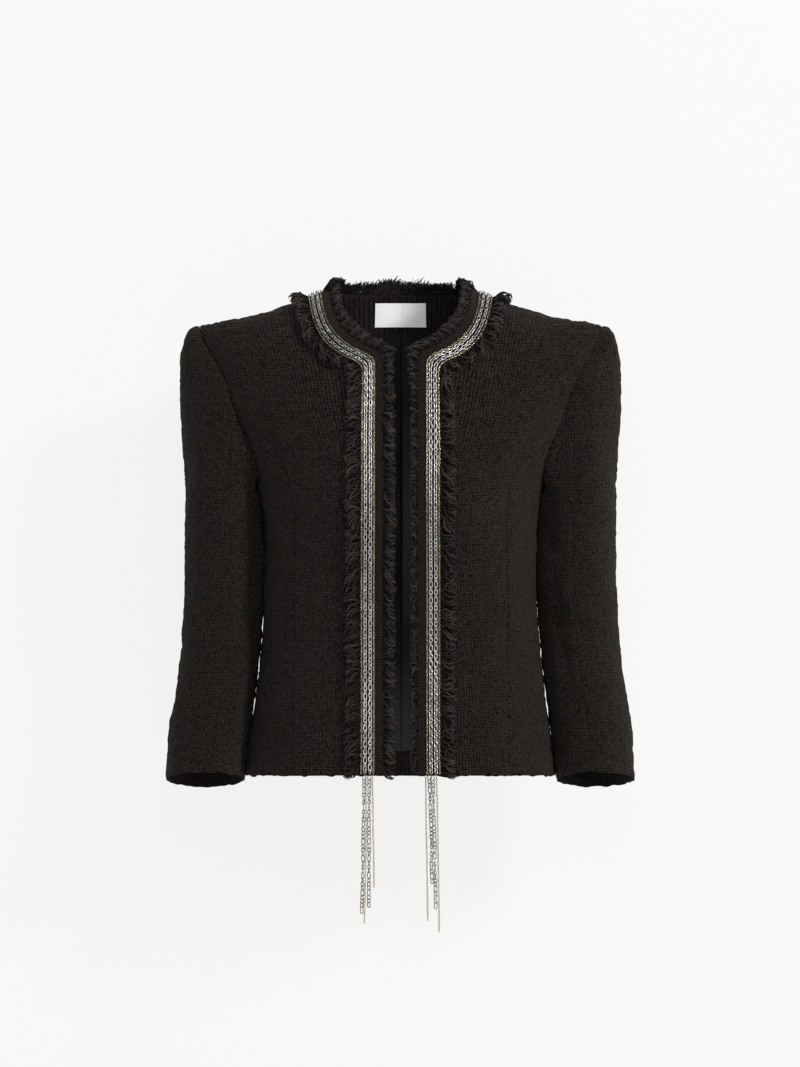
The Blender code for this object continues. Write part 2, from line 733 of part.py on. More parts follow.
def build_trim(run):
    normals = body_normals(run)
    tape = inset(run[:, TAPE], first_column=True, last_column=True)
    wall("trim_tape", [(tape, normals[:, TAPE])], GAP, GAP + TAPE_THICKNESS, "tweed")
    outer = inset(run[:, (4, 6)], first_column=True)
    wall("fringe_outer", [(outer, normals[:, (4, 6)])], FRINGE_LIFT, FRINGE_STANDS, "fringe")
    edge, inner = run[:, 0], run[:, 1]
    away = (edge - inner) / np.linalg.norm(edge - inner, axis=1, keepdims=True)
    front = np.interp(edge[:, 2], REACH_HEIGHTS, REACH_FRONT)
    turned = np.clip(edge[:, 1] / 0.05, 0, 1)
    reach = (front + (REACH_BACK - front) * turned)[:, None]
    sheet = inset(np.stack([edge + away * reach, edge, inner], axis=1), last_column=True)
    sides = np.stack([normals[:, 0], normals[:, 0], normals[:, 1]], axis=1)
    wall("fringe_edge", [(sheet, sides)], FRINGE_LIFT, FRINGE_STANDS - 0.002, "fringe")


def across_band(run, share):
    """The line of the trim at one share of the way across its band."""
    place = int(np.searchsorted(BAND_COLUMNS, share)) - 1
    left, right = BAND_COLUMNS[place], BAND_COLUMNS[place + 1]
    mix = (share - left) / (right - left)
    return run[:, place] * (1 - mix) + run[:, place + 1] * mix


def build_chains(run):
    normals = body_normals(run)
    rise = GAP + TAPE_THICKNESS + GAP
    for name, (inner, outer, thickness) in STRANDS.items():
        points = np.stack([across_band(run, inner), across_band(run, outer)], axis=1)
        sides = np.stack([across_band(normals, inner), across_band(normals, outer)], axis=1)
        finish = "gold" if "gold" in name else "silver"
        wall(name, [(points, sides)], rise, rise + thickness, finish)


def build_chain_ends():
    """Each free end hangs from the hem in a slight curve."""
    top = HEM_FRONT - GAP
    for name, end in CHAIN_ENDS.items():
        y = sheet_point(abs(end["x"][0]), HEM_FRONT, False)[1] - CHAIN_END_OUT - end["forward"]
        heights = np.linspace(top, end["bottom"], len(end["x"]))
        curve = bpy.data.curves.new(name, "CURVE")
        curve.dimensions = "3D"
        curve.bevel_depth = end["radius"]
        curve.bevel_resolution = 2
        curve.use_fill_caps = True
        spline = curve.splines.new("POLY")
        spline.points.add(len(heights) - 1)
        for point, x, z in zip(spline.points, end["x"], heights):
            point.co = (x, y, z, 1)
        curve.materials.append(material_of("gold" if "gold" in name else "silver"))
        piece = bpy.data.objects.new(name, curve)
        bpy.data.collections[COLLECTION].objects.link(piece)


def build_sleeves():
    upper = sleeve_sheet(BACK_SEAM, FRONT_SEAM)
    under = sleeve_sheet(FRONT_SEAM, 360 + BACK_SEAM)
    for name, sheet in (("upper", upper), ("under", under)):
        wall(f"sleeve_{name}_left", [sheet], -CLOTH, 0, "tweed")
        wall(f"sleeve_{name}_right", [mirrored(sheet)], -CLOTH, 0, "tweed")


def main():
    clear_scene()
    bands, rests = front_rows()
    backs, necks = back_rows(), neck_rows()
    build_fronts(bands, rests)
    build_back(backs, necks)
    build_inside(backs, necks)
    build_sleeves()
    run = trim_run(bands, necks)
    build_trim(run)
    build_chains(run)
    build_chain_ends()


main()
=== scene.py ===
# Cropped tweed jacket with a frayed chain trim, filled out as it is worn.
# Metres, +Z up, front towards -Y. All the cloth lies on one body surface or on the sleeves' own.

import math

import bpy
import mathutils
import numpy as np
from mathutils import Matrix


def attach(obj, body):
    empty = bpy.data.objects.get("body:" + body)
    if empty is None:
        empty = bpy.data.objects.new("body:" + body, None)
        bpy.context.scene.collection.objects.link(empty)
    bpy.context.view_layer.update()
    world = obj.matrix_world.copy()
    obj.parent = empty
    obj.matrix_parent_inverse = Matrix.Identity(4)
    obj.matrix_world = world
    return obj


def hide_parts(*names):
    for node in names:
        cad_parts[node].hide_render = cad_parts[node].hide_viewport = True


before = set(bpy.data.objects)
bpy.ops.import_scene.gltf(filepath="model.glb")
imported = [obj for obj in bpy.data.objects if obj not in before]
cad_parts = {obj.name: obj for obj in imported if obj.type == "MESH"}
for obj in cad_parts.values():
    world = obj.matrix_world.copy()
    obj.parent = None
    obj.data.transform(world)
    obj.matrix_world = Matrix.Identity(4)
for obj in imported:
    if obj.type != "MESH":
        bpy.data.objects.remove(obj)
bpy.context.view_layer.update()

cloth = {
    "tweed": 0.002,
    "facing": 0.0012,
    "lining": 0.001,
    "label": 0.0008,
    "gap": 0.0003,  # between a piece and what lies on it
    "seam": 0.00002,  # how far each edge of a seam is drawn in
    "uneven": 0.0005,  # how far the whole cloth waves
    "body": 0.42,  # cloth half round the body
    "sleeve": 0.29,  # and all round a sleeve
    "rows": 0.0033,  # spacing of the mesh down a piece
    "columns": 0.0032,  # and across it
}


# Body surface: half width, and depth in front of and behind the side line, at each height.
bodyForm = {
    "height": (-0.505, -0.460, -0.410, -0.355, -0.300, -0.250, -0.215, -0.190,
               -0.165, -0.140, -0.115, -0.090, -0.060, -0.030, 0.000, 0.070),
    "halfWidth": (0.1630, 0.1580, 0.1505, 0.1450, 0.1424, 0.1424, 0.1455, 0.1520,
                  0.1630, 0.1770, 0.1910, 0.2030, 0.2160, 0.2280, 0.2380, 0.2500),
    "front": (0.1160, 0.1110, 0.1050, 0.1020, 0.1060, 0.1140, 0.1170, 0.1160,
              0.1130, 0.1090, 0.1050, 0.1010, 0.0980, 0.0960, 0.0950, 0.0940),
    "back": (0.1140, 0.1040, 0.0930, 0.0860, 0.0880, 0.0950, 0.1000, 0.1040,
             0.1060, 0.1070, 0.1070, 0.1060, 0.1040, 0.1020, 0.1000, 0.0980),
    "squareness": 0.5,
    "hemFront": -0.4925,
    "hemBack": -0.5010,
    "roundFrom": -0.190,  # the surface starts to close towards the shoulder line here
    "roundPower": 2.5,
}
shoulder = {
    "height": 0.030, "slope": 0.30, "neckRise": 0.035, "neckReach": 0.045, "tip": 0.210,
    "pad": 0.0058, "padReach": 0.038,  # how far a pad squares the shoulder, fading towards the neck
}
bust = {"x": 0.072, "height": -0.212, "wide": 0.050, "tall": 0.060, "full": 0.07}
sideSeam = 92.0  # degrees round the body from the centre front


def smoothCurve(keys, values, at):
    # A smooth curve through the values at the keys, which rise.
    keys, values = np.asarray(keys, float), np.asarray(values, float)
    slopes = np.gradient(values, keys)
    at = np.clip(at, keys[0], keys[-1])
    i = np.clip(np.searchsorted(keys, at) - 1, 0, len(keys) - 2)
    step = keys[i + 1] - keys[i]
    t = (at - keys[i]) / step
    ends = (2 * t**3 - 3 * t**2 + 1) * values[i] + (3 * t**2 - 2 * t**3) * values[i + 1]
    return ends + step * ((t**3 - 2 * t**2 + t) * slopes[i] + (t**3 - t**2) * slopes[i + 1])


def bodySize(name, z):
    return smoothCurve(bodyForm["height"], bodyForm[name], z)


def ridgeHeight(x):
    rise = shoulder["neckRise"] * np.exp(-((np.abs(x) / shoulder["neckReach"]) ** 2))
    fromTip = (np.abs(x) - shoulder["tip"]) / shoulder["padReach"]
    rise = rise + shoulder["pad"] * np.exp(-(fromTip**2))
    return shoulder["height"] - shoulder["slope"] * np.abs(x) + rise


def depthAt(x, z, behind):
    across = (np.abs(x) - bust["x"]) / bust["wide"]
    up = (z - bust["height"]) / bust["tall"]
    swell = 1 + bust["full"] * np.exp(-(across**2) - up**2)
    return np.where(behind, bodySize("back", z), bodySize("front", z) * swell)


def sideShare(x, z):
    q = np.abs(x) / bodySize("halfWidth", z)
    return (1 - bodyForm["squareness"]) * q**2 + bodyForm["squareness"] * q**4


def rounding(x, z):
    # 1 below the chest, falling to 0 on the shoulder line
    low = bodyForm["roundFrom"]
    t = np.clip((z - low) / (ridgeHeight(x) - low), 0, None)
    return 1 - t ** bodyForm["roundPower"]


def bodyLevel(points):
    x, y, z = points[..., 0], points[..., 1], points[..., 2]
    return (y / depthAt(x, z, y > 0)) ** 2 - (1 - sideShare(x, z)) * rounding(x, z)


def bodySlope(points):
    slopes = []
    for axis in range(3):
        move = np.zeros(3)
        move[axis] = 1e-5
        slopes.append((bodyLevel(points + move) - bodyLevel(points - move)) / 2e-5)
    return np.stack(slopes, axis=-1)


def unit(vectors):
    length = np.linalg.norm(vectors, axis=-1, keepdims=True)
    return vectors / np.maximum(length, 1e-12)


def runLengths(line):
    # How far along the line each of its points is.
    steps = np.linalg.norm(np.diff(line, axis=0), axis=1)
    return np.concatenate([[0], np.cumsum(steps)])


def lineAt(line, keys, at):
    # A line of points read at any key, straight between its points.
    return np.stack([np.interp(at, keys, line[:, k]) for k in range(3)], axis=-1)


def addObject(name, data):
    made = bpy.data.objects.new(name, data)
    bpy.context.scene.collection.objects.link(made)
    return made


def bodyNormals(points):
    return unit(bodySlope(points))


def onBody(points):
    for _ in range(8):
        slope = bodySlope(points)
        reach = np.maximum(np.sum(slope**2, axis=-1), 1e-12)
        points = points - (bodyLevel(points) / reach)[..., None] * slope
    return points


def sheetPoints(x, z, behind=False):
    x, z = np.broadcast_arrays(np.asarray(x, float), np.asarray(z, float))
    share = np.clip((1 - sideShare(x, z)) * rounding(x, z), 0, None)
    y = depthAt(x, z, behind) * np.sqrt(share)
    return np.stack([x, y if behind else -y, z], axis=-1)


def roundPoints(degrees, z):
    # The points at angles round the body from the centre front.
    degrees, z = np.broadcast_arrays(np.asarray(degrees, float), np.asarray(z, float))
    square = bodyForm["squareness"]
    flat = 1 - square
    sine = np.sin(np.radians(degrees)) ** 2
    q = np.sqrt((np.sqrt(flat**2 + 4 * square * sine) - flat) / (2 * square))
    x = bodySize("halfWidth", z) * q
    z = np.minimum(z, ridgeHeight(x))
    behind = degrees > 90
    y = depthAt(x, z, behind) * np.abs(np.cos(np.radians(degrees)))
    y = y * np.sqrt(np.clip(rounding(x, z), 0, None))
    return np.stack([x, np.where(behind, y, -y), z], axis=-1)


def roundAngles(points):
    share = np.clip(sideShare(points[..., 0], points[..., 2]), 0, 1)
    angle = np.degrees(np.arcsin(np.sqrt(share)))
    return np.where(points[..., 1] > 0, 180 - angle, angle)


def hemHeight(degrees):
    drop = (1 - np.cos(np.radians(degrees))) / 2
    return bodyForm["hemFront"] + (bodyForm["hemBack"] - bodyForm["hemFront"]) * drop


# Camera and loose chain ends

camera = {"distance": 5.0, "x": -0.0005, "z": -0.319, "lens": 161.3, "shiftUp": 0.0669}

chainLook = {
    # short and long are inner lengths of links; sway is how much a sewn chain's links turn;
    # mesh is a link's faces along and round its wire
    "silver": {
        "wide": 0.0042, "wire": 0.00102, "short": 0.0036, "long": 0.0056, "roll": (-42, 34),
        "sway": 0.9, "mesh": (14, 6),
    },
    "silver_loose": {
        "wide": 0.0042, "wire": 0.00112, "short": 0.0037, "long": 0.0060, "roll": (-20, 20),
        "mesh": (14, 6),
    },
    "gold": {
        "wide": 0.0020, "wire": 0.00052, "short": 0.0019, "long": 0.0019, "roll": (-10, 70),
        "sway": 0.5, "mesh": (10, 4),
    },
}

chainEnds = {
    # bottom is the height of the lowest point; x, in 0.1 mm, is at even steps below the hem
    "gold_outer_right": {
        "bottom": -0.6441, "diameter": 0.0018, "forward": 0.0045, "turn": 20,
        "x": (-354, -353, -352, -351, -350, -350, -351, -353, -355, -357, -359, -361, -364, -367, -370),
    },
    "silver_outer_right": {
        "bottom": -0.6348, "diameter": 0.0040, "forward": 0.0, "turn": 70,
        "x": (-371, -372, -374, -376, -377, -379, -380, -381, -382, -383, -385, -387, -390, -393, -396),
    },
    "silver_inner_right": {
        "bottom": -0.6284, "diameter": 0.0040, "forward": 0.0, "turn": 60,
        "x": (-320, -320, -320, -320, -321, -322, -322, -321, -320, -321, -322, -323, -323, -323, -323),
    },
    "gold_inner_right": {
        "bottom": -0.6082, "diameter": 0.0018, "forward": 0.0, "turn": 15,
        "x": (-289, -288, -286, -284, -283, -282, -281, -280, -278, -276, -274, -273, -272, -272, -271),
    },
    "gold_inner_left": {
        "bottom": -0.6421, "diameter": 0.0018, "forward": 0.0, "turn": 30,
        "x": (256, 258, 260, 261, 262, 264, 265, 267, 269, 270, 272, 274, 276, 278, 279),
    },
    "silver_inner_left": {
        "bottom": -0.6042, "diameter": 0.0040, "forward": 0.0, "turn": -65,
        "x": (291, 295, 299, 302, 305, 308, 312, 315, 316, 316, 316, 316, 318, 321, 324),
    },
    "silver_outer_left": {
        "bottom": -0.6301, "diameter": 0.0040, "forward": 0.0030, "turn": 80,
        "x": (328, 332, 335, 338, 340, 343, 346, 349, 351, 353, 355, 357, 358, 359, 360),
    },
    "gold_outer_left": {
        "bottom": -0.6537, "diameter": 0.0018, "forward": 0.0, "turn": 25,
        "x": (366, 370, 373, 376, 378, 380, 382, 384, 386, 388, 390, 391, 393, 394, 395),
    },
}
chainEndOut = 0.0032  # how far in front of the panel the loose ends start


def makeCamera():
    data = bpy.data.cameras.new("camera")
    data.lens = camera["lens"]
    data.sensor_width = 36
    data.shift_y = camera["shiftUp"]
    data.clip_end = 50
    made = addObject("camera", data)
    made.location = (camera["x"], -camera["distance"], camera["z"])
    made.rotation_euler = (math.radians(90), 0, 0)
    bpy.context.scene.camera = made


def linkRing(length, wide, wire, around, sides):
    # One link as a closed tube on a rounded oblong: X across, Y along, Z out of its plane.
    turn = np.arange(around) * 2 * np.pi / around
    straight = max((length - wide) / 2, 0)
    radius = (wide - wire) / 2
    ring = np.stack([radius * np.cos(turn), radius * np.sin(turn), 0 * turn], axis=-1)
    out = ring / radius
    ring[:, 1] += straight * np.tanh(4 * np.sin(turn))
    side = np.arange(sides) * 2 * np.pi / sides
    up = np.array([0, 0, 1.0])
    tube = ring[:, None] + (wire / 2) * (
        out[:, None] * np.cos(side)[None, :, None] + up * np.sin(side)[None, :, None]
    )
    points = tube.reshape(-1, 3)
    i, j = np.meshgrid(np.arange(around), np.arange(sides), indexing="ij")
    nextI, nextJ = (i + 1) % around, (j + 1) % sides
    faces = np.stack(
        [i * sides + j, nextI * sides + j, nextI * sides + nextJ, i * sides + nextJ], axis=-1
    )
    return points, faces.reshape(-1, 4)


def makeMesh(name, points, faces, paints, slots=None, uv=None, shade=None, crease=None):
    mesh = bpy.data.meshes.new(name)
    mesh.from_pydata(points.tolist(), [], faces.tolist())
    for paint in paints:
        mesh.materials.append(paint)
    mesh.polygons.foreach_set("use_smooth", np.ones(len(faces), bool))
    if slots is not None:
        mesh.polygons.foreach_set("material_index", slots.astype(np.int32))
    if uv is not None:
        layer = mesh.uv_layers.new(name="cloth")
        corners = np.zeros(len(mesh.loops), np.int32)
        mesh.loops.foreach_get("vertex_index", corners)
        layer.data.foreach_set("uv", uv[corners].astype(np.float32).ravel())
    if shade is not None:
        layer = mesh.attributes.new("shade", "FLOAT", "POINT")
        layer.data.foreach_set("value", shade.astype(np.float32))
    mesh.update()
    if crease:
        mesh.set_sharp_from_angle(angle=math.radians(crease))
    piece = addObject(name, mesh)
    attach(piece, "root")
    return piece


def standFor(node):
    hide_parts(node)


def linksAlong(path, across, look, turns):
    # Links down a whole path, each through the next: three short ones, then a long one.
    runs = runLengths(path)
    wire = look["wire"]
    room = runs[-1] - 2 * wire
    inners = []
    while sum(inners) + look["short"] < room:
        inners.append(look["long"] if len(inners) % 4 == 3 else look["short"])
    stretch = room / sum(inners)
    points, faces, count, place = [], [], 0, wire
    for number, inner in enumerate(inners):
        inner *= stretch
        middle = place + inner / 2
        place += inner
        ring, quads = linkRing(inner + 2 * wire, look["wide"], wire, *look["mesh"])
        centre = lineAt(path, runs, middle)
        along = unit(lineAt(path, runs, middle + 0.001) - lineAt(path, runs, middle - 0.001))
        sideways = lineAt(across, runs, middle)
        sideways = unit(sideways - along * np.dot(sideways, along))
        out = np.cross(sideways, along)
        roll = math.radians(look["roll"][number % 2] + turns(middle))
        x = sideways * math.cos(roll) + out * math.sin(roll)
        z = out * math.cos(roll) - sideways * math.sin(roll)
        points.append(centre + ring[:, :1] * x + ring[:, 1:2] * along + ring[:, 2:] * z)
        faces.append(quads + count)
        count += len(ring)
    return np.concatenate(points), np.concatenate(faces)


def makeChainEnds(paints):
    top = bodyForm["hemFront"] - cloth["gap"]
    for name, end in chainEnds.items():
        x = np.array(end["x"]) / 10000
        surface = sheetPoints(abs(x[0]), bodyForm["hemFront"])[1]
        heights = np.linspace(top, end["bottom"], len(x))
        depths = np.full(len(x), surface - chainEndOut - end["forward"])
        route = np.stack([x, depths, heights], axis=-1)
        fine = np.linspace(0, len(route) - 1, 8 * len(route))
        path = np.stack(tableAt(route, fine), axis=-1)
        metal = name.split("_")[0]
        length = float(np.linalg.norm(np.diff(path, axis=0), axis=1).sum())
        across = np.tile([1.0, 0, 0], (len(path), 1))

        def turns(middle, most=end["turn"], length=length):
            return most * math.sin(2.2 * math.pi * middle / length) ** 3

        look = chainLook["silver_loose" if metal == "silver" else "gold"]
        points, faces = linksAlong(path, across, look, turns)
        piece = makeMesh(f"loose_chain_{name}", points, faces, [paints[f"{metal}_loose"]])
        standFor(f"chain_end_{name}")
    print("loose chain ends made")


# Finishes


class Wire:
    # A socket in a finish; sums and products on it add Math nodes.
    def __init__(self, paint, socket):
        self.paint, self.socket = paint, socket

    def __add__(self, other):
        return self.paint.math("ADD", self, other)

    def __radd__(self, other):
        return self.paint.math("ADD", other, self)

    def __sub__(self, other):
        return self.paint.math("SUBTRACT", self, other)

    def __rsub__(self, other):
        return self.paint.math("SUBTRACT", other, self)

    def __mul__(self, other):
        return self.paint.math("MULTIPLY", self, other)

    def __rmul__(self, other):
        return self.paint.math("MULTIPLY", other, self)


class Paint:
    # One finish: its material, its nodes and its shader.
    def __init__(self, name, colour, roughness, metallic=0.0, **fixed):
        self.material = bpy.data.materials.new(name)
        self.material.use_nodes = True
        self.material.diffuse_color = (*colour, 1)
        self.tree = self.material.node_tree
        self.shader = self.tree.nodes["Principled BSDF"]
        self.set("Base Color", (*colour, 1))
        self.set("Roughness", roughness)
        self.set("Metallic", metallic)
        for socket, value in fixed.items():
            self.set(socket.replace("_", " "), value)

    def set(self, socket, value):
        if isinstance(value, Wire):
            self.tree.links.new(value.socket, self.shader.inputs[socket])
        else:
            self.shader.inputs[socket].default_value = value

    def node(self, kind, settings=None, sockets=None, out=0):
        made = self.tree.nodes.new("ShaderNode" + kind)
        for name, value in (settings or {}).items():
            setattr(made, name, value)
        for name, value in (sockets or {}).items():
            if isinstance(value, Wire):
                self.tree.links.new(value.socket, made.inputs[name])
            else:
                made.inputs[name].default_value = value
        return Wire(self, made.outputs[out])

    def math(self, operation, first, second):
        return self.node("Math", {"operation": operation}, {0: first, 1: second})

    def place(self):
        return self.node("TexCoord", out="Object")

    def weave(self):
        return self.node("UVMap", {"uv_map": "cloth"})

    def axis(self, vector, number):
        return self.node("SeparateXYZ", None, {0: vector}, out=number)

    def threads(self, along, spacing):
        # Even threads across a direction, each from 0 between two to 1 on top.
        turn = along * (2 * math.pi / spacing)
        return self.node("Math", {"operation": "SINE"}, {0: turn}) * 0.5 + 0.5

    def vector(self, operation, first, second):
        return self.node("VectorMath", {"operation": operation}, {0: first, 1: second})

    def stretched(self, place, cell):
        return self.vector("MULTIPLY", place, tuple(1 / size for size in (*cell, 1)))

    def noise(self, place, size, detail=2.0, rough=0.5):
        sockets = {"Vector": place, "Scale": 1 / size, "Detail": detail, "Roughness": rough}
        return self.node("TexNoise", None, sockets)

    def between(self, share, low, high):
        # 0 below the low value and 1 above the high one
        sockets = {"Value": share, "From Min": low, "From Max": high}
        return self.node("MapRange", {"clamp": True}, sockets)

    def mixed(self, share, first, second):
        first = first if isinstance(first, Wire) else (*first, 1)
        second = second if isinstance(second, Wire) else (*second, 1)
        return self.node("Mix", {"data_type": "RGBA"}, {0: share, 6: first, 7: second}, out=2)

    def bump(self, height, distance, strength=1.0):
        sockets = {"Height": height, "Distance": distance, "Strength": strength}
        self.set("Normal", self.node("Bump", None, sockets))


tapeLook = {
    "yarn": (0.0224, 0.0181, 0.0153), "knob": (0.0014, 0.0010), "pitch": (0.0026, 0.0017),
    "ribs": 0.25, "woven": 0.8, "relief": 0.0009,
}
facingLook = {
    # dark is the colour in the hollows between the loops: the dark yarn and painted shade there
    "dark": (0.0046, 0.0036, 0.0031), "yarn": (0.0190, 0.0151, 0.0131),
    "knob": (0.0012, 0.0030), "pitch": (0.0022, 0.0024), "ribs": 0.80, "woven": 0.45,
    "relief": 0.0008, "pull": 0.0010,
}
tweedLook = {
    # colour in the hollows between the loops: the dark yarn and painted shade there
    "dark": (0.0013, 0.0010, 0.0009),
    "yarn": (0.0266, 0.0201, 0.0170),
    "fleck": (0.035, 0.029, 0.023),
    "knob": (0.0018, 0.0022),  # size of a loop of the yarn across and down
    "streak": (0.0010, 0.0060),  # of the lighter streaks of the warp
    "slub": (0.0070, 0.0011),  # and of the weft
    "hair": 0.0008,
    "flecks": 0.0024,  # size of the pale flecks
    "patch": 0.030,  # and of the broad lighter patches
    "pitch": (0.0023, 0.0024),  # of the warp and the weft
    "ribs": 0.5,  # how much of the weave is its warp
    "woven": 0.55,  # how much the even weave shows through the loops
    "pull": 0.0026,  # how far its threads wander
    "relief": 0.0018,
}


def tweedFinish(name, look):
    paint = Paint(name, look["yarn"], 0.95, Sheen_Weight=0.04, Sheen_Roughness=0.5)
    paint.set("Sheen Tint", (0.80, 0.72, 0.66, 1))
    paint.set("Specular IOR Level", 0.08)
    place = paint.place()
    wander = paint.node("TexNoise", None, {"Vector": place, "Scale": 160, "Detail": 1}, out="Color")
    half = paint.vector("SUBTRACT", wander, (0.5, 0.5, 0.5))
    pull = paint.vector("MULTIPLY", half, (look["pull"], look["pull"], 0))
    bent = paint.vector("ADD", paint.weave(), pull)
    cells = {"Vector": paint.stretched(bent, look["knob"]), "Scale": 1.0, "Smoothness": 0.35}
    knobs = 1 - paint.node("TexVoronoi", {"feature": "SMOOTH_F1"}, cells)
    streaks = paint.noise(paint.stretched(bent, look["streak"]), 1.0, 1.0)
    slubs = paint.noise(paint.stretched(bent, look["slub"]), 1.0, 1.0)
    fine = paint.noise(place, look["hair"], 2.0)
    warp, weft = look["pitch"]
    ribs = paint.threads(paint.axis(bent, 0), warp)
    picks = paint.threads(paint.axis(bent, 1), weft)
    pile = knobs * 0.46 + streaks * 0.34 + slubs * 0.26 + fine * 0.16
    thread = pile + (ribs * look["ribs"] + picks * (1 - look["ribs"])) * look["woven"]
    broad = paint.between(paint.noise(place, look["patch"], 3.0), 0.32, 0.68)
    # the colour follows the yarn's height: painted shade and the dark yarn in the hollows, the yarn
    # colour on the raised loops
    raisedYarnOverShadedHollows = paint.between(thread, 0.54 + look["woven"] * 0.30, 0.78 + look["woven"] * 0.72)
    colour = paint.mixed(raisedYarnOverShadedHollows * (broad * 0.16 + 0.84), look["dark"], look["yarn"])
    flecks = paint.between(paint.noise(place, look["flecks"], 1.0), 0.62, 0.74) * raisedYarnOverShadedHollows
    paint.set("Base Color", paint.mixed(flecks * 0.5, colour, look["fleck"]))
    paint.bump(thread, look["relief"], 1.0)
    return paint.material


# colours the strands run between: dark for painted shade, light for a painted highlight
fringeLook = {"dark": (0.0016, 0.0012, 0.0011), "light": (0.047, 0.0385, 0.0335)}


def fringeFinish(name, look):
    paint = Paint(name, look["dark"], 0.9, Sheen_Weight=0.08, Sheen_Roughness=0.4)
    paint.set("Sheen Tint", (0.80, 0.74, 0.70, 1))
    paint.set("Specular IOR Level", 0.12)
    # the strands' shade value holds their painted shade and painted highlight, with a random tone
    shade = paint.node("Attribute", {"attribute_name": "shade"}, out="Fac")
    twist = paint.noise(paint.place(), 0.0012, 2.0)
    paint.set("Base Color", paint.mixed(shade * (twist * 0.8 + 0.6), look["dark"], look["light"]))
    paint.bump(twist, 0.0003, 0.8)
    return paint.material


liningLook = {
    "colour": (0.0042, 0.0044, 0.0056), "worn": (0.0085, 0.0088, 0.0105),
    "cloud": 0.035, "twill": (0.0006, 0.004),  # sizes of the worn patches and of the weave
}


def liningFinish(name, look):
    paint = Paint(name, look["colour"], 0.42, Sheen_Weight=0.04, Sheen_Roughness=0.3)
    paint.set("Specular IOR Level", 0.25)
    place = paint.place()
    cloudy = paint.noise(place, look["cloud"], 3.0)
    twill = paint.noise(paint.stretched(paint.weave(), look["twill"]), 1.0, 2.0)
    wear = paint.between(cloudy, 0.3, 0.75)
    paint.set("Base Color", paint.mixed(wear, look["colour"], look["worn"]))
    paint.set("Roughness", twill * 0.16 + 0.34)
    paint.bump(twill + cloudy * 0.6, 0.0003, 0.5)
    return paint.material


labelLook = {"colour": (0.97, 0.97, 0.965), "shadow": (0.88, 0.88, 0.87), "thread": 0.0007}


def labelFinish(name, look):
    paint = Paint(name, look["colour"], 0.6, Sheen_Weight=0.2)
    weave = paint.weave()
    warp, weft = (paint.threads(paint.axis(weave, number), look["thread"]) for number in range(2))
    soft = paint.noise(paint.place(), 0.006, 2.0)
    grain = weft * 0.6 + warp * 0.4
    share = paint.between(grain * 0.5 + soft * 0.5, 0.15, 0.65)
    paint.set("Base Color", paint.mixed(share, look["shadow"], look["colour"]))
    paint.bump(grain, 0.0001, 0.6)
    return paint.material


metalLook = {
    # bright is the metal and dull its tarnish; edge is painted shade where the wire turns away
    "silver": {
        "bright": (0.66, 0.66, 0.645), "dull": (0.26, 0.26, 0.25), "edge": (0.07, 0.07, 0.068),
        "rough": 0.27,
    },
    "gold": {
        "bright": (0.55, 0.46, 0.31), "dull": (0.24, 0.19, 0.12), "edge": (0.13, 0.10, 0.06),
        "rough": 0.24,
    },
    # painted shade: the loose ends hang in front of a pale ground, where the wire looks darker, so they
    # get darker copies of the metals
    "silver_loose": {
        "bright": (0.40, 0.40, 0.39), "dull": (0.14, 0.14, 0.135), "edge": (0.035, 0.035, 0.033),
        "rough": 0.22,
    },
    "gold_loose": {
        "bright": (0.50, 0.37, 0.17), "dull": (0.24, 0.17, 0.07), "edge": (0.13, 0.09, 0.035),
        "rough": 0.26,
    },
}


def metalFinish(name, look):
    paint = Paint(name, look["bright"], look["rough"], 1.0)
    place = paint.place()
    tarnish = paint.between(paint.noise(place, 0.009, 3.0), 0.45, 0.72)
    worn = paint.mixed(tarnish * 0.7, look["bright"], look["dull"])
    # painted shade: the colour darkens where the wire's surface turns away from the view
    turned = paint.node("LayerWeight", None, {"Blend": 0.5}, out="Facing")
    paint.set("Base Color", paint.mixed(paint.between(turned, 0.25, 0.85), worn, look["edge"]))
    paint.set("Roughness", paint.noise(place, 0.003, 2.0) * 0.18 + look["rough"] - 0.06)
    paint.bump(paint.noise(place, 0.0011, 2.0), 0.00006, 0.6)
    return paint.material


def makeFinishes():
    paints = {
        "tweed": tweedFinish("tweed", tweedLook),
        "tape": tweedFinish("braid", {**tweedLook, **tapeLook}),
        "facing": tweedFinish("facing tweed", {**tweedLook, **facingLook}),
        "fringe": fringeFinish("frayed yarn", fringeLook),
        "lining": liningFinish("lining", liningLook),
        "label": labelFinish("woven label", labelLook),
    }
    for metal in ("silver", "gold"):
        paints[metal] = metalFinish(f"{metal} chain", metalLook[metal])
        # the loose ends' metal is a darker copy of the same metal, painted shade
        loose = f"{metal}_loose"
        paints[loose] = metalFinish(f"loose {metal} chain", metalLook[loose])
    print("finishes made")
    return paints


# Rows of the panels, from hem to shoulder

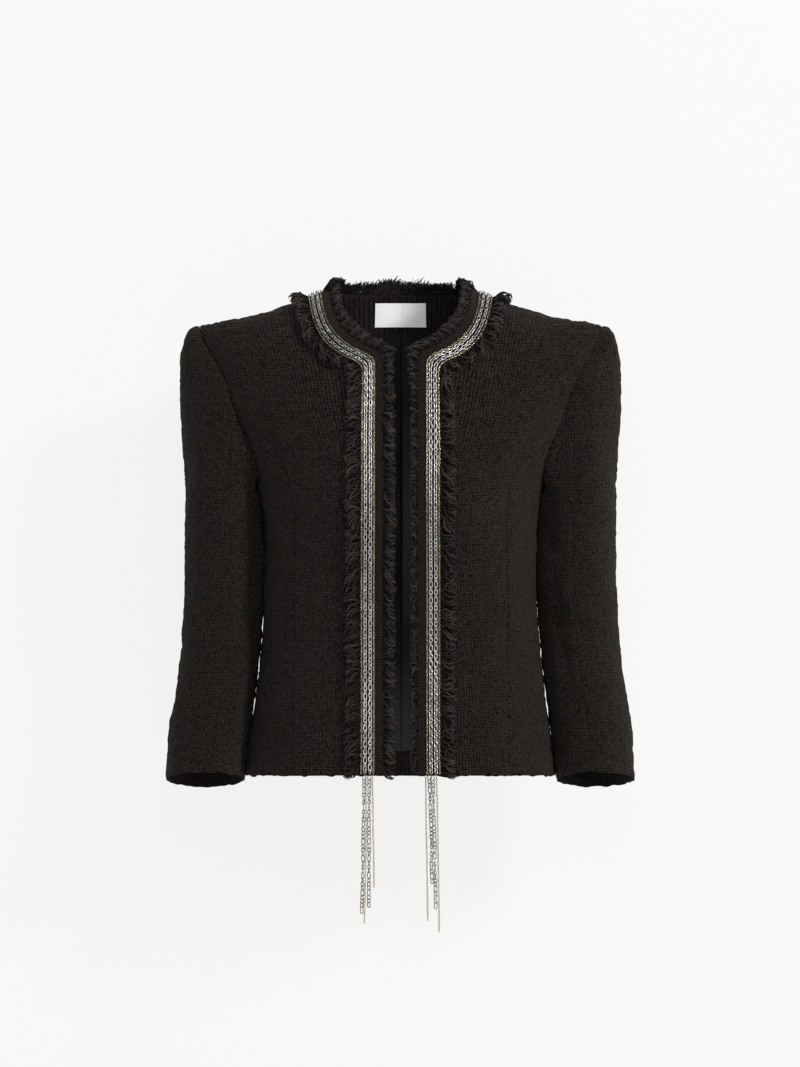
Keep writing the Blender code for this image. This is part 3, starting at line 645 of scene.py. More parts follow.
lowRows = (-0.4740, -0.4300, -0.3850, -0.3400, -0.2950, -0.2550)  # level rows, by height
frontRows = tuple((0.0125, z, 0.0590, z, z) for z in lowRows) + (
    # edgeX, edgeZ, bandX, bandZ, seamZ
    (0.0125, -0.2200, 0.0590, -0.2200, -0.2220),
    (0.0125, -0.1850, 0.0590, -0.1870, -0.1920),
    (0.0125, -0.1520, 0.0590, -0.1560, -0.1680),
    (0.0125, -0.1220, 0.0585, -0.1300, -0.1500),
    (0.0125, -0.0950, 0.0577, -0.1100, -0.1250),
    (0.0128, -0.0730, 0.0572, -0.0950, -0.1050),
    (0.0140, -0.0600, 0.0578, -0.0865, -0.0920),
    (0.0215, -0.0540, 0.0650, -0.0790, -0.0820),
    (0.0370, -0.0460, 0.0770, -0.0735, -0.0730),
    (0.0520, -0.0335, 0.0905, -0.0640, -0.0645),
    (0.0615, -0.0205, 0.1010, -0.0490, -0.0570),
    (0.0662, -0.0065, 0.1080, -0.0310, -0.0495),
    (0.0676, 0.0040, 0.1118, -0.0165, -0.0430),
    (0.0680, 0.0102, 0.1138, -0.0075, -0.0375),
)
backRows = tuple((0.0, z, z) for z in lowRows) + (
    # startX, startZ, sideZ below the neck band
    (0.0, -0.2220, -0.2220),
    (0.0, -0.1900, -0.1950),
    (0.0, -0.1650, -0.1915),
    (0.0, -0.1420, -0.1820),
    (0.0, -0.1200, -0.1650),
    (0.0, -0.1000, -0.1480),
    (0.0, -0.0800, -0.1300),
    (0.0, -0.0600, -0.1120),
)
neckRows = (
    # edgeX, edgeZ, bandX, bandZ, sideZ
    (0.0000, 0.0090, 0.0000, -0.0395, -0.0960),
    (0.0180, 0.0088, 0.0280, -0.0390, -0.0850),
    (0.0350, 0.0085, 0.0560, -0.0370, -0.0740),
    (0.0500, 0.0085, 0.0800, -0.0330, -0.0640),
    (0.0600, 0.0085, 0.0990, -0.0245, -0.0540),
    (0.0655, 0.0090, 0.1090, -0.0150, -0.0450),
    (0.0675, 0.0100, 0.1135, -0.0065, -0.0380),
)
neckSide, bandSide = 0.0680, 0.1145  # where the neckline and the band meet the shoulder line
underarmRow = 7  # rows of the back up to this one end on the side seam

princessSeam = {
    "height": (-0.505, -0.350, -0.225, -0.200, -0.180, -0.165, -0.150),
    "x": (0.1106, 0.1106, 0.1106, 0.1135, 0.1205, 0.1340, 0.1567),
    "top": -0.150,
}
armhole = {
    "height": (-0.195, -0.192, -0.182, -0.165, -0.140, -0.115, -0.090, -0.070, -0.050, -0.0272),
    "front": (92.0, 80.0, 69.0, 63.5, 61.3, 59.0, 57.0, 58.5, 61.9, 61.7),
    "back": (92.0, 102.0, 111.0, 116.0, 118.0, 120.0, 122.0, 121.0, 118.1, 118.3),
    "gap": 0.0002,
    "tuck": 0.005,  # seam allowance of the sleeve head, under the body panels
}

# Soft troughs and ridges of the body: two ends as (x, height), behind or not, width and depth.
bodyCreases = (
    ((0.150, -0.185), (0.085, -0.235), False, 0.011, -0.0022),
    ((-0.152, -0.180), (-0.092, -0.245), False, 0.013, -0.0026),
    ((0.128, -0.215), (0.105, -0.300), False, 0.010, 0.0014),
    ((-0.124, -0.230), (-0.110, -0.330), False, 0.012, 0.0016),
    ((0.150, -0.120), (0.118, -0.175), False, 0.009, -0.0018),
    ((-0.150, -0.115), (-0.116, -0.182), False, 0.010, -0.0022),
    ((0.085, -0.345), (0.135, -0.372), False, 0.012, -0.0018),
    ((-0.078, -0.352), (-0.138, -0.366), False, 0.011, -0.0015),
    ((0.095, -0.420), (0.088, -0.500), False, 0.014, 0.0026),
    ((-0.090, -0.405), (-0.096, -0.500), False, 0.016, 0.0024),
    ((0.130, -0.440), (0.136, -0.500), False, 0.012, -0.0020),
    ((-0.126, -0.430), (-0.134, -0.500), False, 0.013, -0.0022),
    ((0.160, -0.110), (0.105, -0.135), True, 0.013, -0.0028),
    ((-0.158, -0.118), (-0.098, -0.128), True, 0.012, -0.0024),
    ((0.135, -0.215), (0.060, -0.300), True, 0.014, -0.0026),
    ((-0.138, -0.205), (-0.070, -0.280), True, 0.013, -0.0030),
    ((0.020, -0.340), (0.095, -0.352), True, 0.012, -0.0026),
    ((-0.015, -0.336), (-0.088, -0.358), True, 0.011, -0.0022),
    ((0.050, -0.365), (0.120, -0.380), True, 0.010, 0.0016),
    ((0.045, -0.400), (0.052, -0.500), True, 0.018, 0.0034),
    ((-0.058, -0.410), (-0.066, -0.500), True, 0.017, 0.0030),
    ((0.105, -0.425), (0.118, -0.500), True, 0.015, -0.0026),
    ((-0.100, -0.430), (-0.116, -0.500), True, 0.014, -0.0024),
)

span = {
    # about how wide each piece is, which sets how many columns its mesh has
    "front": 0.11, "side": 0.066, "back": 0.20, "upper": 0.155, "under": 0.135,
}


def stations(ends):
    # Places down a table's rows, about one spacing apart and closer towards the shoulder line.
    places = [0.0]
    steps = np.linalg.norm(np.diff(ends, axis=0), axis=-1).max(axis=-1)
    for number, step in enumerate(steps):
        count = max(int(math.ceil(step / cloth["rows"])), 1)
        shares = np.arange(1, count + 1) / count
        if number == len(steps) - 1:
            shares = 1 - (1 - shares) ** 2
        places.extend(number + shares)
    return np.array(places)


def tableAt(rows, places):
    table = np.array(rows, float)
    keys = np.arange(len(table))
    return [smoothCurve(keys, table[:, k], places) for k in range(table.shape[1])]


def onRidge(points):
    # The last row of a panel, put on the shoulder line.
    points[-1, :, 1] = 0
    points[-1, :, 2] = ridgeHeight(points[-1, :, 0])
    return points


def evenShares(width, first=False, last=False):
    # Even shares across a width, with closer ones beside a seam.
    shares = np.linspace(0, 1, int(width / cloth["columns"]) + 1)
    close = np.array([0.0007, 0.0016]) / width
    if first:
        shares = np.concatenate([[0], close, shares[1:]])
    if last:
        shares = np.concatenate([shares[:-1], 1 - close[::-1], [1]])
    return shares


def acrossRows(start, end, shares):
    # Points on the body between two edges, stepping in angle and height.
    share = np.asarray(shares)[None]
    first, last = roundAngles(start)[:, None], roundAngles(end)[:, None]
    heights = start[:, None, 2] * (1 - share) + end[:, None, 2] * share
    rows = roundPoints(first * (1 - share) + last * share, heights)
    rows[:, 0], rows[:, -1] = start, end
    return rows


def bandRows(edge, outside, shares):
    shares = np.asarray(shares, float)[None, :, None]
    return onBody(edge[:, None] * (1 - shares) + outside[:, None] * shares)


def withHem(rows):
    # Rows added below the lowest one, down to the hem.
    angles = roundAngles(rows[0])
    hem = hemHeight(angles)
    count = int(math.ceil((rows[0, 0, 2] - hem[0]) / cloth["rows"]))
    share = np.linspace(0, 1, count, endpoint=False)[:, None]
    added = roundPoints(angles[None], hem[None] * (1 - share) + rows[0, :, 2][None] * share)
    return np.concatenate([added, rows])


def frontSeamPoints(z):
    z = np.asarray(z, float)
    onPrincess = sheetPoints(smoothCurve(princessSeam["height"], princessSeam["x"], z), z)
    onArmhole = roundPoints(smoothCurve(armhole["height"], armhole["front"], z), z)
    return np.where((z <= princessSeam["top"])[..., None], onPrincess, onArmhole)


def ridgePoint(x):
    return np.array([x, 0.0, float(ridgeHeight(x))])


def frontLines():
    # The edge, the outside of the trim band and the seam of a front, from hem to shoulder.
    table = frontRows + (
        (neckSide, ridgePoint(neckSide)[2], bandSide, ridgePoint(bandSide)[2],
         ridgePoint(shoulder["tip"])[2]),
    )

    def lines(places):
        edgeX, edgeZ, bandX, bandZ, seamZ = tableAt(table, places)
        found = [sheetPoints(edgeX, edgeZ), sheetPoints(bandX, bandZ), frontSeamPoints(seamZ)]
        for line, x in zip(found, (neckSide, bandSide, shoulder["tip"])):
            line[-1] = ridgePoint(x)
        return found

    places = stations(np.stack(lines(np.arange(len(table))), axis=1))
    return lines(places)


def frontGrid(bandShares):
    edge, outside, seam = frontLines()
    band = bandRows(edge, outside, bandShares)
    rest = onRidge(acrossRows(band[:, -1], seam, evenShares(span["front"], last=True)))
    return withHem(np.concatenate([band, rest[:, 1:]], axis=1))


def sideFrontGrid():
    shares = evenShares(span["side"], first=True, last=True)
    start = float(roundAngles(frontSeamPoints(princessSeam["top"])))
    low = [n for n, z in enumerate(armhole["height"]) if z < princessSeam["top"]][::-1]
    keys = [start] + [armhole["front"][n] for n in low]
    heights = [princessSeam["top"]] + [armhole["height"][n] for n in low]
    topZ = smoothCurve(keys, heights, start + shares * (sideSeam - start))
    hem = float(hemHeight(roundAngles(frontSeamPoints(bodyForm["hemFront"]))))
    v = evenShares(princessSeam["top"] - hem, last=True)[:, None]
    first = roundAngles(frontSeamPoints(hem + v * (princessSeam["top"] - hem)))
    u = shares[None]
    angles = first * (1 - u) + sideSeam * u
    return roundPoints(angles, hemHeight(angles) * (1 - v) + topZ[None] * v)


def backLines():
    # The inner end and the side of each back row, the neck edge, and each row's place.
    top = (neckSide, ridgePoint(neckSide)[2], bandSide, ridgePoint(bandSide)[2])
    necks = neckRows + ((*top, ridgePoint(shoulder["tip"])[2]),)
    table = backRows + tuple(row[2:] for row in necks)

    def lines(places):
        startX, startZ, sideZ = tableAt(table, places)
        startX = np.where(places > len(backRows), np.maximum(startX, 0), 0)
        angle = smoothCurve(armhole["height"], armhole["back"], sideZ)
        angle = np.where(places <= underarmRow, sideSeam, angle)
        found = [sheetPoints(startX, startZ, True), roundPoints(angle, sideZ)]
        for line, x in zip(found, (bandSide, shoulder["tip"])):
            line[-1] = ridgePoint(x)
        return found

    places = stations(np.stack(lines(np.arange(len(table))), axis=1))
    start, side = lines(places)
    edgeX, edgeZ = tableAt(necks, np.clip(places - len(backRows), 0, None))[:2]
    edge = sheetPoints(np.where(places > len(backRows), np.maximum(edgeX, 0), 0), edgeZ, True)
    edge[-1] = ridgePoint(neckSide)
    return start, side, edge, places


def backGrids(bandShares, restShares, last=99.0):
    # A back half below the neck band and beside it, then the band. Rows stop at the last place.
    start, side, edge, places = backLines()
    rest = onRidge(acrossRows(start, side, restShares))
    upper = places >= len(backRows)
    band = bandRows(edge[upper], start[upper], bandShares)
    if bandShares[-1] == 1:
        band[:, -1] = rest[upper][:, 0]
    keep = places <= last
    return withHem(rest[keep]), band[keep[upper]]


def creasePath(pointsAt, first, last):
    share = np.linspace(0, 1, 9)
    ends = [a * (1 - share) + b * share for a, b in zip(first, last)]
    return pointsAt(*ends)


def creaseShift(points, creases):
    # How far the cloth stands out at each point, from the creases and a broad unevenness.
    shift = np.zeros(points.shape[:-1])
    for path, width, depth in creases:
        nearest = np.full(shift.shape, 1.0)
        along = np.zeros(shift.shape)
        for number in range(len(path) - 1):
            step = path[number + 1] - path[number]
            t = np.clip((points - path[number]) @ step / (step @ step), 0, 1)
            away = np.linalg.norm(points - path[number] - t[..., None] * step, axis=-1)
            closer = away < nearest
            nearest = np.where(closer, away, nearest)
            along = np.where(closer, (number + t) / (len(path) - 1), along)
        shift += depth * np.exp(-((nearest / width) ** 2)) * (0.35 + 0.65 * np.sin(np.pi * along))
    x, y, z = points[..., 0], points[..., 1], points[..., 2]
    uneven = np.sin(61 * x + 17 * z + 1.3) * np.sin(43 * z - 23 * x + 0.4 + 9 * y)
    uneven = uneven + 0.6 * np.sin(97 * z + 71 * x - 29 * y) * np.sin(53 * x - 37 * z)
    return shift + cloth["uneven"] * uneven


def latticeNoise(points, size, seed):
    # Smooth noise from 0 to 1 over a cubic lattice of one size.
    at = points / size
    cell = np.floor(at).astype(np.int64)
    t = at - cell
    t = t * t * (3 - 2 * t)
    total = np.zeros(points.shape[:-1])
    for corner in range(8):
        step = np.array([corner & 1, corner >> 1 & 1, corner >> 2 & 1])
        n = cell + step
        code = n[..., 0] * 73856093 ^ n[..., 1] * 19349663 ^ n[..., 2] * 83492791 ^ seed
        code = (code ^ (code >> 13)) * 1274126177 & 0x7FFFFFFF
        value = (code ^ (code >> 16)) % 65536 / 65535
        share = np.where(step, t, 1 - t)
        total += value * share[..., 0] * share[..., 1] * share[..., 2]
    return total


def gridEdges(points, edge):
    # A grid's edge and the line next to it.
    return {
        "first": (points[0], points[1]), "last": (points[-1], points[-2]),
        "near": (points[:, 0], points[:, 1]), "far": (points[:, -1], points[:, -2]),
    }[edge]


def drawnIn(points, edges):
    # The chosen edges of a grid drawn in by the seam gap.
    points = points.copy()
    for name in edges:
        edge, inner = gridEdges(points, name)
        edge += cloth["seam"] * unit(inner - edge)
    return points


def edgeDistance(points, edges):
    # How far each point is from the nearest of the chosen edges, along the grid.
    down = np.linalg.norm(np.diff(points, axis=0), axis=-1)
    down = np.concatenate([np.zeros((1, points.shape[1])), np.cumsum(down, axis=0)])
    across = np.linalg.norm(np.diff(points, axis=1), axis=-1)
    across = np.concatenate([np.zeros((points.shape[0], 1)), np.cumsum(across, axis=1)], axis=1)
    lengths = {
        "first": down, "last": down[-1:] - down,
        "near": across, "far": across[:, -1:] - across,
    }
    away = np.full(points.shape[:-1], 1.0)
    for name, share in edges.items():
        away = np.minimum(away, lengths[name] * share)
    return away


def bodySheet(points, seams=(), hems=None):
    # A grid on the body with its normals, weave directions and distances from its edges.
    points = onBody(drawnIn(points, seams))
    return {
        "points": points,
        "normals": bodyNormals(points),
        "weave": np.stack([roundAngles(points) / 180 * cloth["body"], points[..., 2]], axis=-1),
        "seam": edgeDistance(points, dict.fromkeys(seams, 1.0)),
        "hem": edgeDistance(points, hems or {}),
    }


def mirrored(sheet):
    flip = np.array([-1.0, 1.0, 1.0])
    other = {name: values[:, ::-1] for name, values in sheet.items()}
    other["points"] = other["points"] * flip
    other["normals"] = other["normals"] * flip
    other["weave"] = other["weave"] * [-1, 1]
    return other


hands = ("left", "right")


def onHand(hand, sheet):
    return sheet if hand == "left" else mirrored(sheet)


wallForm = {
    "seam": 0.0016,  # how wide the groove at a seam is
    "hem": 0.0025,  # and the softer one at a hem
    "frayed": 0.006,  # how far up from the hem its edge waves, and the size of the waves
    "wave": 0.007,
    "below": -0.4,  # only hems below this height are uneven
    "lumps": (0.0047, 0.013),  # sizes of the small and the broad lumps of the yarn
    "sharp": 60,  # degrees past which an edge stays sharp
    "inside": 0.37,  # how far away the cloth that the inner side shows is taken from
}


def joinedSheets(sheets):
    # The faces of one or more grids, joined where their points meet, and the values at each point.
    parts = {key: [] for key in ("points", "normals", "weave", "seam", "hem")}
    quads, count = [], 0
    for sheet in sheets:
        rows, columns = sheet["points"].shape[:2]
        for key, values in parts.items():
            values.append(sheet[key].reshape(rows * columns, -1))
        n = np.arange(rows * columns).reshape(rows, columns) + count
        corners = [n[:-1, :-1], n[:-1, 1:], n[1:, 1:], n[1:, :-1]]
        quads.append(np.stack(corners, axis=-1).reshape(-1, 4))
        count += rows * columns
    parts = {key: np.concatenate(values) for key, values in parts.items()}
    keys = np.round(parts["points"] * 1e5).astype(np.int64)
    _, kept, index = np.unique(keys, axis=0, return_index=True, return_inverse=True)
    quads = index.reshape(-1)[np.concatenate(quads)]
    parts = {key: values[kept] for key, values in parts.items()}
    corners = parts["points"][quads]
    facing = np.cross(corners[:, 2] - corners[:, 0], corners[:, 3] - corners[:, 1])
    if np.sum(facing * parts["normals"][quads[:, 0]]) < 0:
        quads = quads[:, ::-1]
    return quads, parts.values()


def makeShell(
    name, sheets, paints, creases, low, high, lined=None, knobs=0.0, dip=0.0, ragged=0.0
):
    # A closed wall on one or more joined grids. Its inner side past the facing is lined.
    quads, (flat, normals, weave, seam, hem) = joinedSheets(sheets)
    points = flat + normals * creaseShift(flat, creases)[:, None]
    frayed = np.where(flat[:, 2] < wallForm["below"], np.exp(-hem[:, 0] / wallForm["frayed"]), 0)
    points[:, 2] += ragged * frayed * (latticeNoise(flat, wallForm["wave"], 41) - 0.5)
    groove = np.exp(-((seam / wallForm["seam"]) ** 2)) + 0.5 * np.exp(-((hem / wallForm["hem"]) ** 2))
    small, broad = wallForm["lumps"]
    lumps = latticeNoise(flat, small, 11) + 0.6 * latticeNoise(flat, broad, 29) - 0.8
    rise = high + knobs * lumps[:, None] - dip * np.minimum(groove, 1)
    total = len(points)
    a, b = quads.ravel(), np.roll(quads, -1, axis=1).ravel()
    rim = ~np.isin(a * total + b, b * total + a)
    rims = np.stack([b[rim], a[rim], a[rim] + total, b[rim] + total], axis=-1)
    faces = np.concatenate([quads, quads[:, ::-1] + total, rims])
    slots = np.zeros(len(faces))
    if lined is not None:
        slots[len(quads):2 * len(quads)] = hem[quads].min(axis=1)[:, 0] > lined
    corners = np.concatenate([points + normals * rise, points + normals * low])
    weave = np.concatenate([weave, weave + wallForm["inside"]])
    return makeMesh(name, corners, faces, paints, slots, weave, crease=wallForm["sharp"])


def makeCloth(name, cut, node, sheets, paints, creases, wall, slot="tweed", **more):
    piece = makeShell(name, sheets, paints, creases, **wall)
    standFor(node)


def offCentre(points):
    points[..., 0] = np.maximum(points[..., 0], cloth["seam"])
    return points


panelWall = {
    "low": -cloth["tweed"],
    "high": 0,
    "lined": 0.027,  # the lining starts this far above the hem
    "knobs": 0.0020,  # how far the yarn stands out
    "dip": 0.0009,  # how deep a seam is
    "ragged": 0.0070,  # how far the hem's edge waves
}


def makePanels(paints, creases):
    tweed = [paints["tweed"], paints["lining"]]
    bandShares = np.linspace(0, 1, 17)
    front = bodySheet(frontGrid(bandShares), ("far", "last"), {"first": 1.0, "near": 0.45})
    side = bodySheet(sideFrontGrid(), ("near", "far", "last"), {"first": 1.0})
    lower, band = backGrids(bandShares, evenShares(span["back"], first=True, last=True))
    lower, band = drawnIn(lower, ("far", "last")), drawnIn(band, ("last",))
    back = bodySheet(offCentre(lower), (), {"first": 1.0})
    neck = bodySheet(offCentre(band), (), {"near": 1.0})
    back["seam"] = edgeDistance(lower, {"far": 1.0, "last": 1.0})
    neck["seam"] = edgeDistance(band, {"last": 1.0})
    for sheet in (back, neck):
        sheet["seam"] = np.minimum(sheet["seam"], sheet["points"][..., 0])
    halves = {
        "front": ("front", [front]), "side": ("side_front", [side]), "back": ("back", [back, neck]),
    }
    for hand in hands:
        for name, (cut, half) in halves.items():
            piece, node = f"panel_{name}_{hand}", f"{cut}_{hand}"
            sheets = [onHand(hand, sheet) for sheet in half]
            makeCloth(piece, cut, node, sheets, tweed, creases, panelWall)
    print("body panels made")


# Facings, lining and label

facingShare = 0.8  # the neck facing ends at this share of the band and the lining starts
facingTop = -0.4739  # the hem facing ends at this height and the lining starts
pleat = {
    # the ease pleat down the middle of the lining, and the columns of the mesh that shape it
    "x": 0.0, "wide": 0.008, "turn": 0.0012, "stands": 0.0016,
    "columns": (0, 0.0006, 0.0014, 0.0025, 0.0045, 0.0068, 0.0095),
}
labelForm = {"wide": 0.057, "bottom": -0.0225, "top": 0.0022}


def makeInside(paints, creases):
    under = -cloth["tweed"] - cloth["gap"]
    facing = [paints["facing"]]
    _, band = backGrids(np.linspace(0, facingShare, 14), evenShares(span["back"]))
    neck = bodySheet(band, ("last", "near", "far"))
    lower, _ = backGrids(np.linspace(0, 1, 3), evenShares(span["back"]))
    hem = bodySheet(lower[lower[:, 0, 2] <= facingTop], ("last", "far"))
    for name, half in (("neck", neck), ("hem", hem)):
        node, sheets = f"facing_{name}", [half, mirrored(half)]
        wall = {"low": under - cloth["facing"], "high": under}
        makeCloth(f"{name}_facing", node, node, sheets, facing, creases, wall)
    close = np.array(pleat["columns"]) / span["back"]
    shares = np.concatenate([close[:-1], np.linspace(close[-1], 5 / 6, 22), [1]])
    lower, band = backGrids(np.linspace(facingShare, 1, 5), shares, len(backRows) + 4)
    lower = bodySheet(lower[lower[:, 0, 2] >= facingTop - 0.0002][:, :-1], ("first",))
    upper = bodySheet(band, ("near",))
    sheets = [lower, upper, mirrored(lower), mirrored(upper)]
    for sheet in sheets:
        x = sheet["points"][..., 0]
        fold = np.clip(1 - np.abs(x - pleat["x"]) / pleat["wide"], 0, 1)
        fold = np.where(x > pleat["x"], np.clip(1 - (x - pleat["x"]) / pleat["turn"], 0, 1), fold)
        sheet["points"] = sheet["points"] - sheet["normals"] * (pleat["stands"] * fold)[..., None]
    wall = {"low": under - cloth["lining"], "high": under}
    makeCloth(
        "back_lining", "lining_back", "lining_back", sheets, [paints["lining"]], creases, wall,
        slot="lining",
    )
    half = labelForm["wide"] / 2
    heights = np.linspace(labelForm["bottom"], labelForm["top"], 17)
    x, z = np.meshgrid(np.linspace(-half, half, 39), heights)
    points = sheetPoints(x, z, True)
    sheet = bodySheet(points)
    sheet["weave"] = np.stack([x, z], axis=-1)
    on = under - cloth["facing"] - 2 * cloth["gap"]
    wall = {"low": on - cloth["label"], "high": on}
    makeCloth(
        "bare_label", "label", "label", [sheet], [paints["label"]], creases, wall, slot="label"
    )
    print("facings, lining and label made")


# Sleeves

sleeveForm = {
    # centre, half sizes, and how far the front of the ring is lifted, below the head
    "height": (-0.501, -0.455, -0.410, -0.360, -0.310, -0.260, -0.215),
    "x": (0.2039, 0.1991, 0.1933, 0.1881, 0.1846, 0.1833, 0.1847),
    "y": (-0.012, -0.004, 0.004, 0.010, 0.012, 0.010, 0.006),
    "halfWidth": (0.0410, 0.0418, 0.0417, 0.0418, 0.0424, 0.0424, 0.0408),
    "halfDepth": (0.0500, 0.0505, 0.0510, 0.0520, 0.0540, 0.0565, 0.0600),
    "tilt": (0.196, 0.160, 0.110, 0.060, 0.020, 0.000, 0.000),
    "frontSeam": 98.0,  # degrees round the sleeve from its outside, front positive
    "backSeam": -95.0,
}


def armholeLoop(side):
    # Half of the armhole, from the shoulder tip to the underarm, and its lengths as shares.
    keys = np.linspace(0, 1, len(armhole["height"]))
    turn = np.linspace(0, 1, 60)
    heights = smoothCurve(keys, armhole["height"][::-1], turn)
    points = roundPoints(smoothCurve(keys, armhole[side][::-1], turn), heights)
    points[0] = ridgePoint(shoulder["tip"])
    lengths = runLengths(points)
    return points, lengths / lengths[-1]


armholeLoops = [armholeLoop(side) for side in ("front", "back")]


def loopPoints(degrees):
    # The armhole at angles round the sleeve: 0 on the shoulder, 90 in front, 180 below.
    degrees = (degrees + 180) % 360 - 180
    share = np.abs(degrees) / 180
    found = [lineAt(points, shares, share) for points, shares in armholeLoops]
    return np.where((degrees >= 0)[..., None], *found)


def sleeveSize(name, z):
    return smoothCurve(sleeveForm["height"], sleeveForm[name], z)


def sleeveRing(degrees, z):
    cosine, sine = np.cos(np.radians(degrees)), np.sin(np.radians(degrees))
    depth = sleeveSize("halfDepth", z)
    return np.stack(
        [
            sleeveSize("x", z) + sleeveSize("halfWidth", z) * cosine,
            sleeveSize("y", z) - depth * sine,
            z + sleeveSize("tilt", z) * depth * sine,
        ],
        axis=-1,
    )


sleeveHead = {
    # which way the head leaves the armhole on top, at its sides and below
    "top": (1, 0, 0.08), "side": (0.8, 0.45, -0.35), "below": (0.25, 0, -1),
    # how far it goes that way, and how far above the arm it turns down: in all, on top and below
    "reach": (0.020, 0.016, -0.012), "turn": (0.045, 0.035, -0.033),
}


def sleevePoints(degrees, steps):
    # The sleeve surface: steps 0 to 1 are the head, from the armhole, and 1 to 2 the rest.
    degrees, steps = np.broadcast_arrays(np.asarray(degrees, float), np.asarray(steps, float))
    top, bottom = sleeveForm["height"][-1], sleeveForm["height"][0]
    below = sleeveRing(degrees, top + (bottom - top) * np.clip(steps - 1, 0, 1))
    cosine, sine = np.cos(np.radians(degrees)), np.sin(np.radians(degrees))
    up, down = np.maximum(cosine, 0), np.maximum(-cosine, 0)
    beside = np.stack([np.abs(sine), -sine, np.abs(sine)], axis=-1)
    leave = up[..., None] * sleeveHead["top"] + beside * sleeveHead["side"]
    leave = unit(leave + down[..., None] * sleeveHead["below"])

    def mixed(name):
        inAll, onTop, under = sleeveHead[name]
        return inAll + onTop * up + under * down

    start = loopPoints(degrees) + armhole["gap"] * leave
    end = sleeveRing(degrees, np.full(degrees.shape, top))
    out = start + mixed("reach")[..., None] * leave
    above = end.copy()
    above[..., 2] += mixed("turn")
    t = np.clip(steps, 0, 1)[..., None]
    head = start * (1 - t) ** 3 + out * 3 * t * (1 - t) ** 2
    head = head + above * 3 * t**2 * (1 - t) + end * t**3
    return np.where((steps > 1)[..., None], below, head)


def sleeveTurn(degrees, points):
    # The angle of each point round the sleeve's middle line, counted on from the given angle.
    z = np.clip(points[..., 2], sleeveForm["height"][0], sleeveForm["height"][-1])
    across = (points[..., 0] - sleeveSize("x", z)) / sleeveSize("halfWidth", z)
    forward = (sleeveSize("y", z) - points[..., 1]) / sleeveSize("halfDepth", z)
    turn = np.degrees(np.arctan2(forward, across))
    return degrees + (turn - degrees + 180) % 360 - 180


def sleeveNormals(degrees, steps):
    across = sleevePoints(degrees + 0.5, steps) - sleevePoints(degrees - 0.5, steps)
    low, high = np.maximum(steps - 0.004, 0), np.minimum(steps + 0.004, 2)
    over = (low < 1) & (high > 1)
    low, high = np.where(over, 0.996, low), np.where(over, 1, high)
    return unit(np.cross(across, sleevePoints(degrees, high) - sleevePoints(degrees, low)))


sleeveWall = {**panelWall, "ragged": 0.0024}

# Soft folds of the sleeves: two ends as degrees round and steps down, then width and depth.
sleeveFolds = {
    "left": (
        ((60, 0.55), (10, 0.95), 0.012, -0.0022),
        ((120, 0.60), (80, 1.05), 0.011, -0.0024),
        ((150, 1.10), (95, 1.22), 0.010, -0.0022),
        ((128, 1.15), (116, 1.75), 0.009, -0.0030),
        ((105, 1.18), (98, 1.60), 0.008, 0.0012),
        ((150, 1.40), (70, 1.47), 0.010, -0.0024),
        ((140, 1.50), (60, 1.60), 0.011, -0.0018),
        ((-20, 1.25), (-80, 1.38), 0.013, -0.0026),
        ((-30, 1.42), (-95, 1.47), 0.012, -0.0028),
        ((-60, 0.50), (-110, 0.90), 0.013, -0.0026),
        ((20, 0.25), (-30, 0.28), 0.012, -0.0010),
        ((30, 1.65), (-10, 1.90), 0.016, 0.0014),
        ((-70, 1.60), (-100, 1.92), 0.013, -0.0020),
    ),
    "right": (
        ((55, 0.60), (0, 1.00), 0.013, -0.0024),
        ((115, 0.58), (75, 1.00), 0.011, -0.0026),
        ((155, 1.08), (100, 1.18), 0.011, -0.0022),
        ((135, 1.20), (112, 1.55), 0.010, -0.0024),
        ((145, 1.45), (65, 1.42), 0.011, -0.0026),
        ((130, 1.56), (55, 1.52), 0.010, -0.0016),
        ((60, 1.25), (40, 1.70), 0.015, 0.0014),
        ((-15, 1.28), (-85, 1.35), 0.012, -0.0024),
        ((-35, 1.45), (-95, 1.50), 0.012, -0.0026),
        ((-65, 0.52), (-112, 0.88), 0.012, -0.0024),
        ((15, 0.22), (-35, 0.26), 0.013, -0.0010),
        ((20, 1.70), (-15, 1.94), 0.016, 0.0012),
        ((-75, 1.62), (-98, 1.90), 0.013, -0.0022),
    ),
}


def tucked(sheet):
    # Two rows added before the first: the sleeve head's allowance, turned in behind the armhole.
    first = sheet["points"][0]
    leave = unit(sheet["points"][1] - first)
    inward = -bodyNormals(onBody(first))
    turned = first + inward * (cloth["tweed"] + 0.0008)
    added = np.stack([turned - leave * armhole["tuck"], turned])
    wider = {}
    for name, values in sheet.items():
        wider[name] = np.concatenate([values[:1], values[:1], values])
    wider["points"][:2] = added
    wider["seam"][:2] = 1.0
    return wider


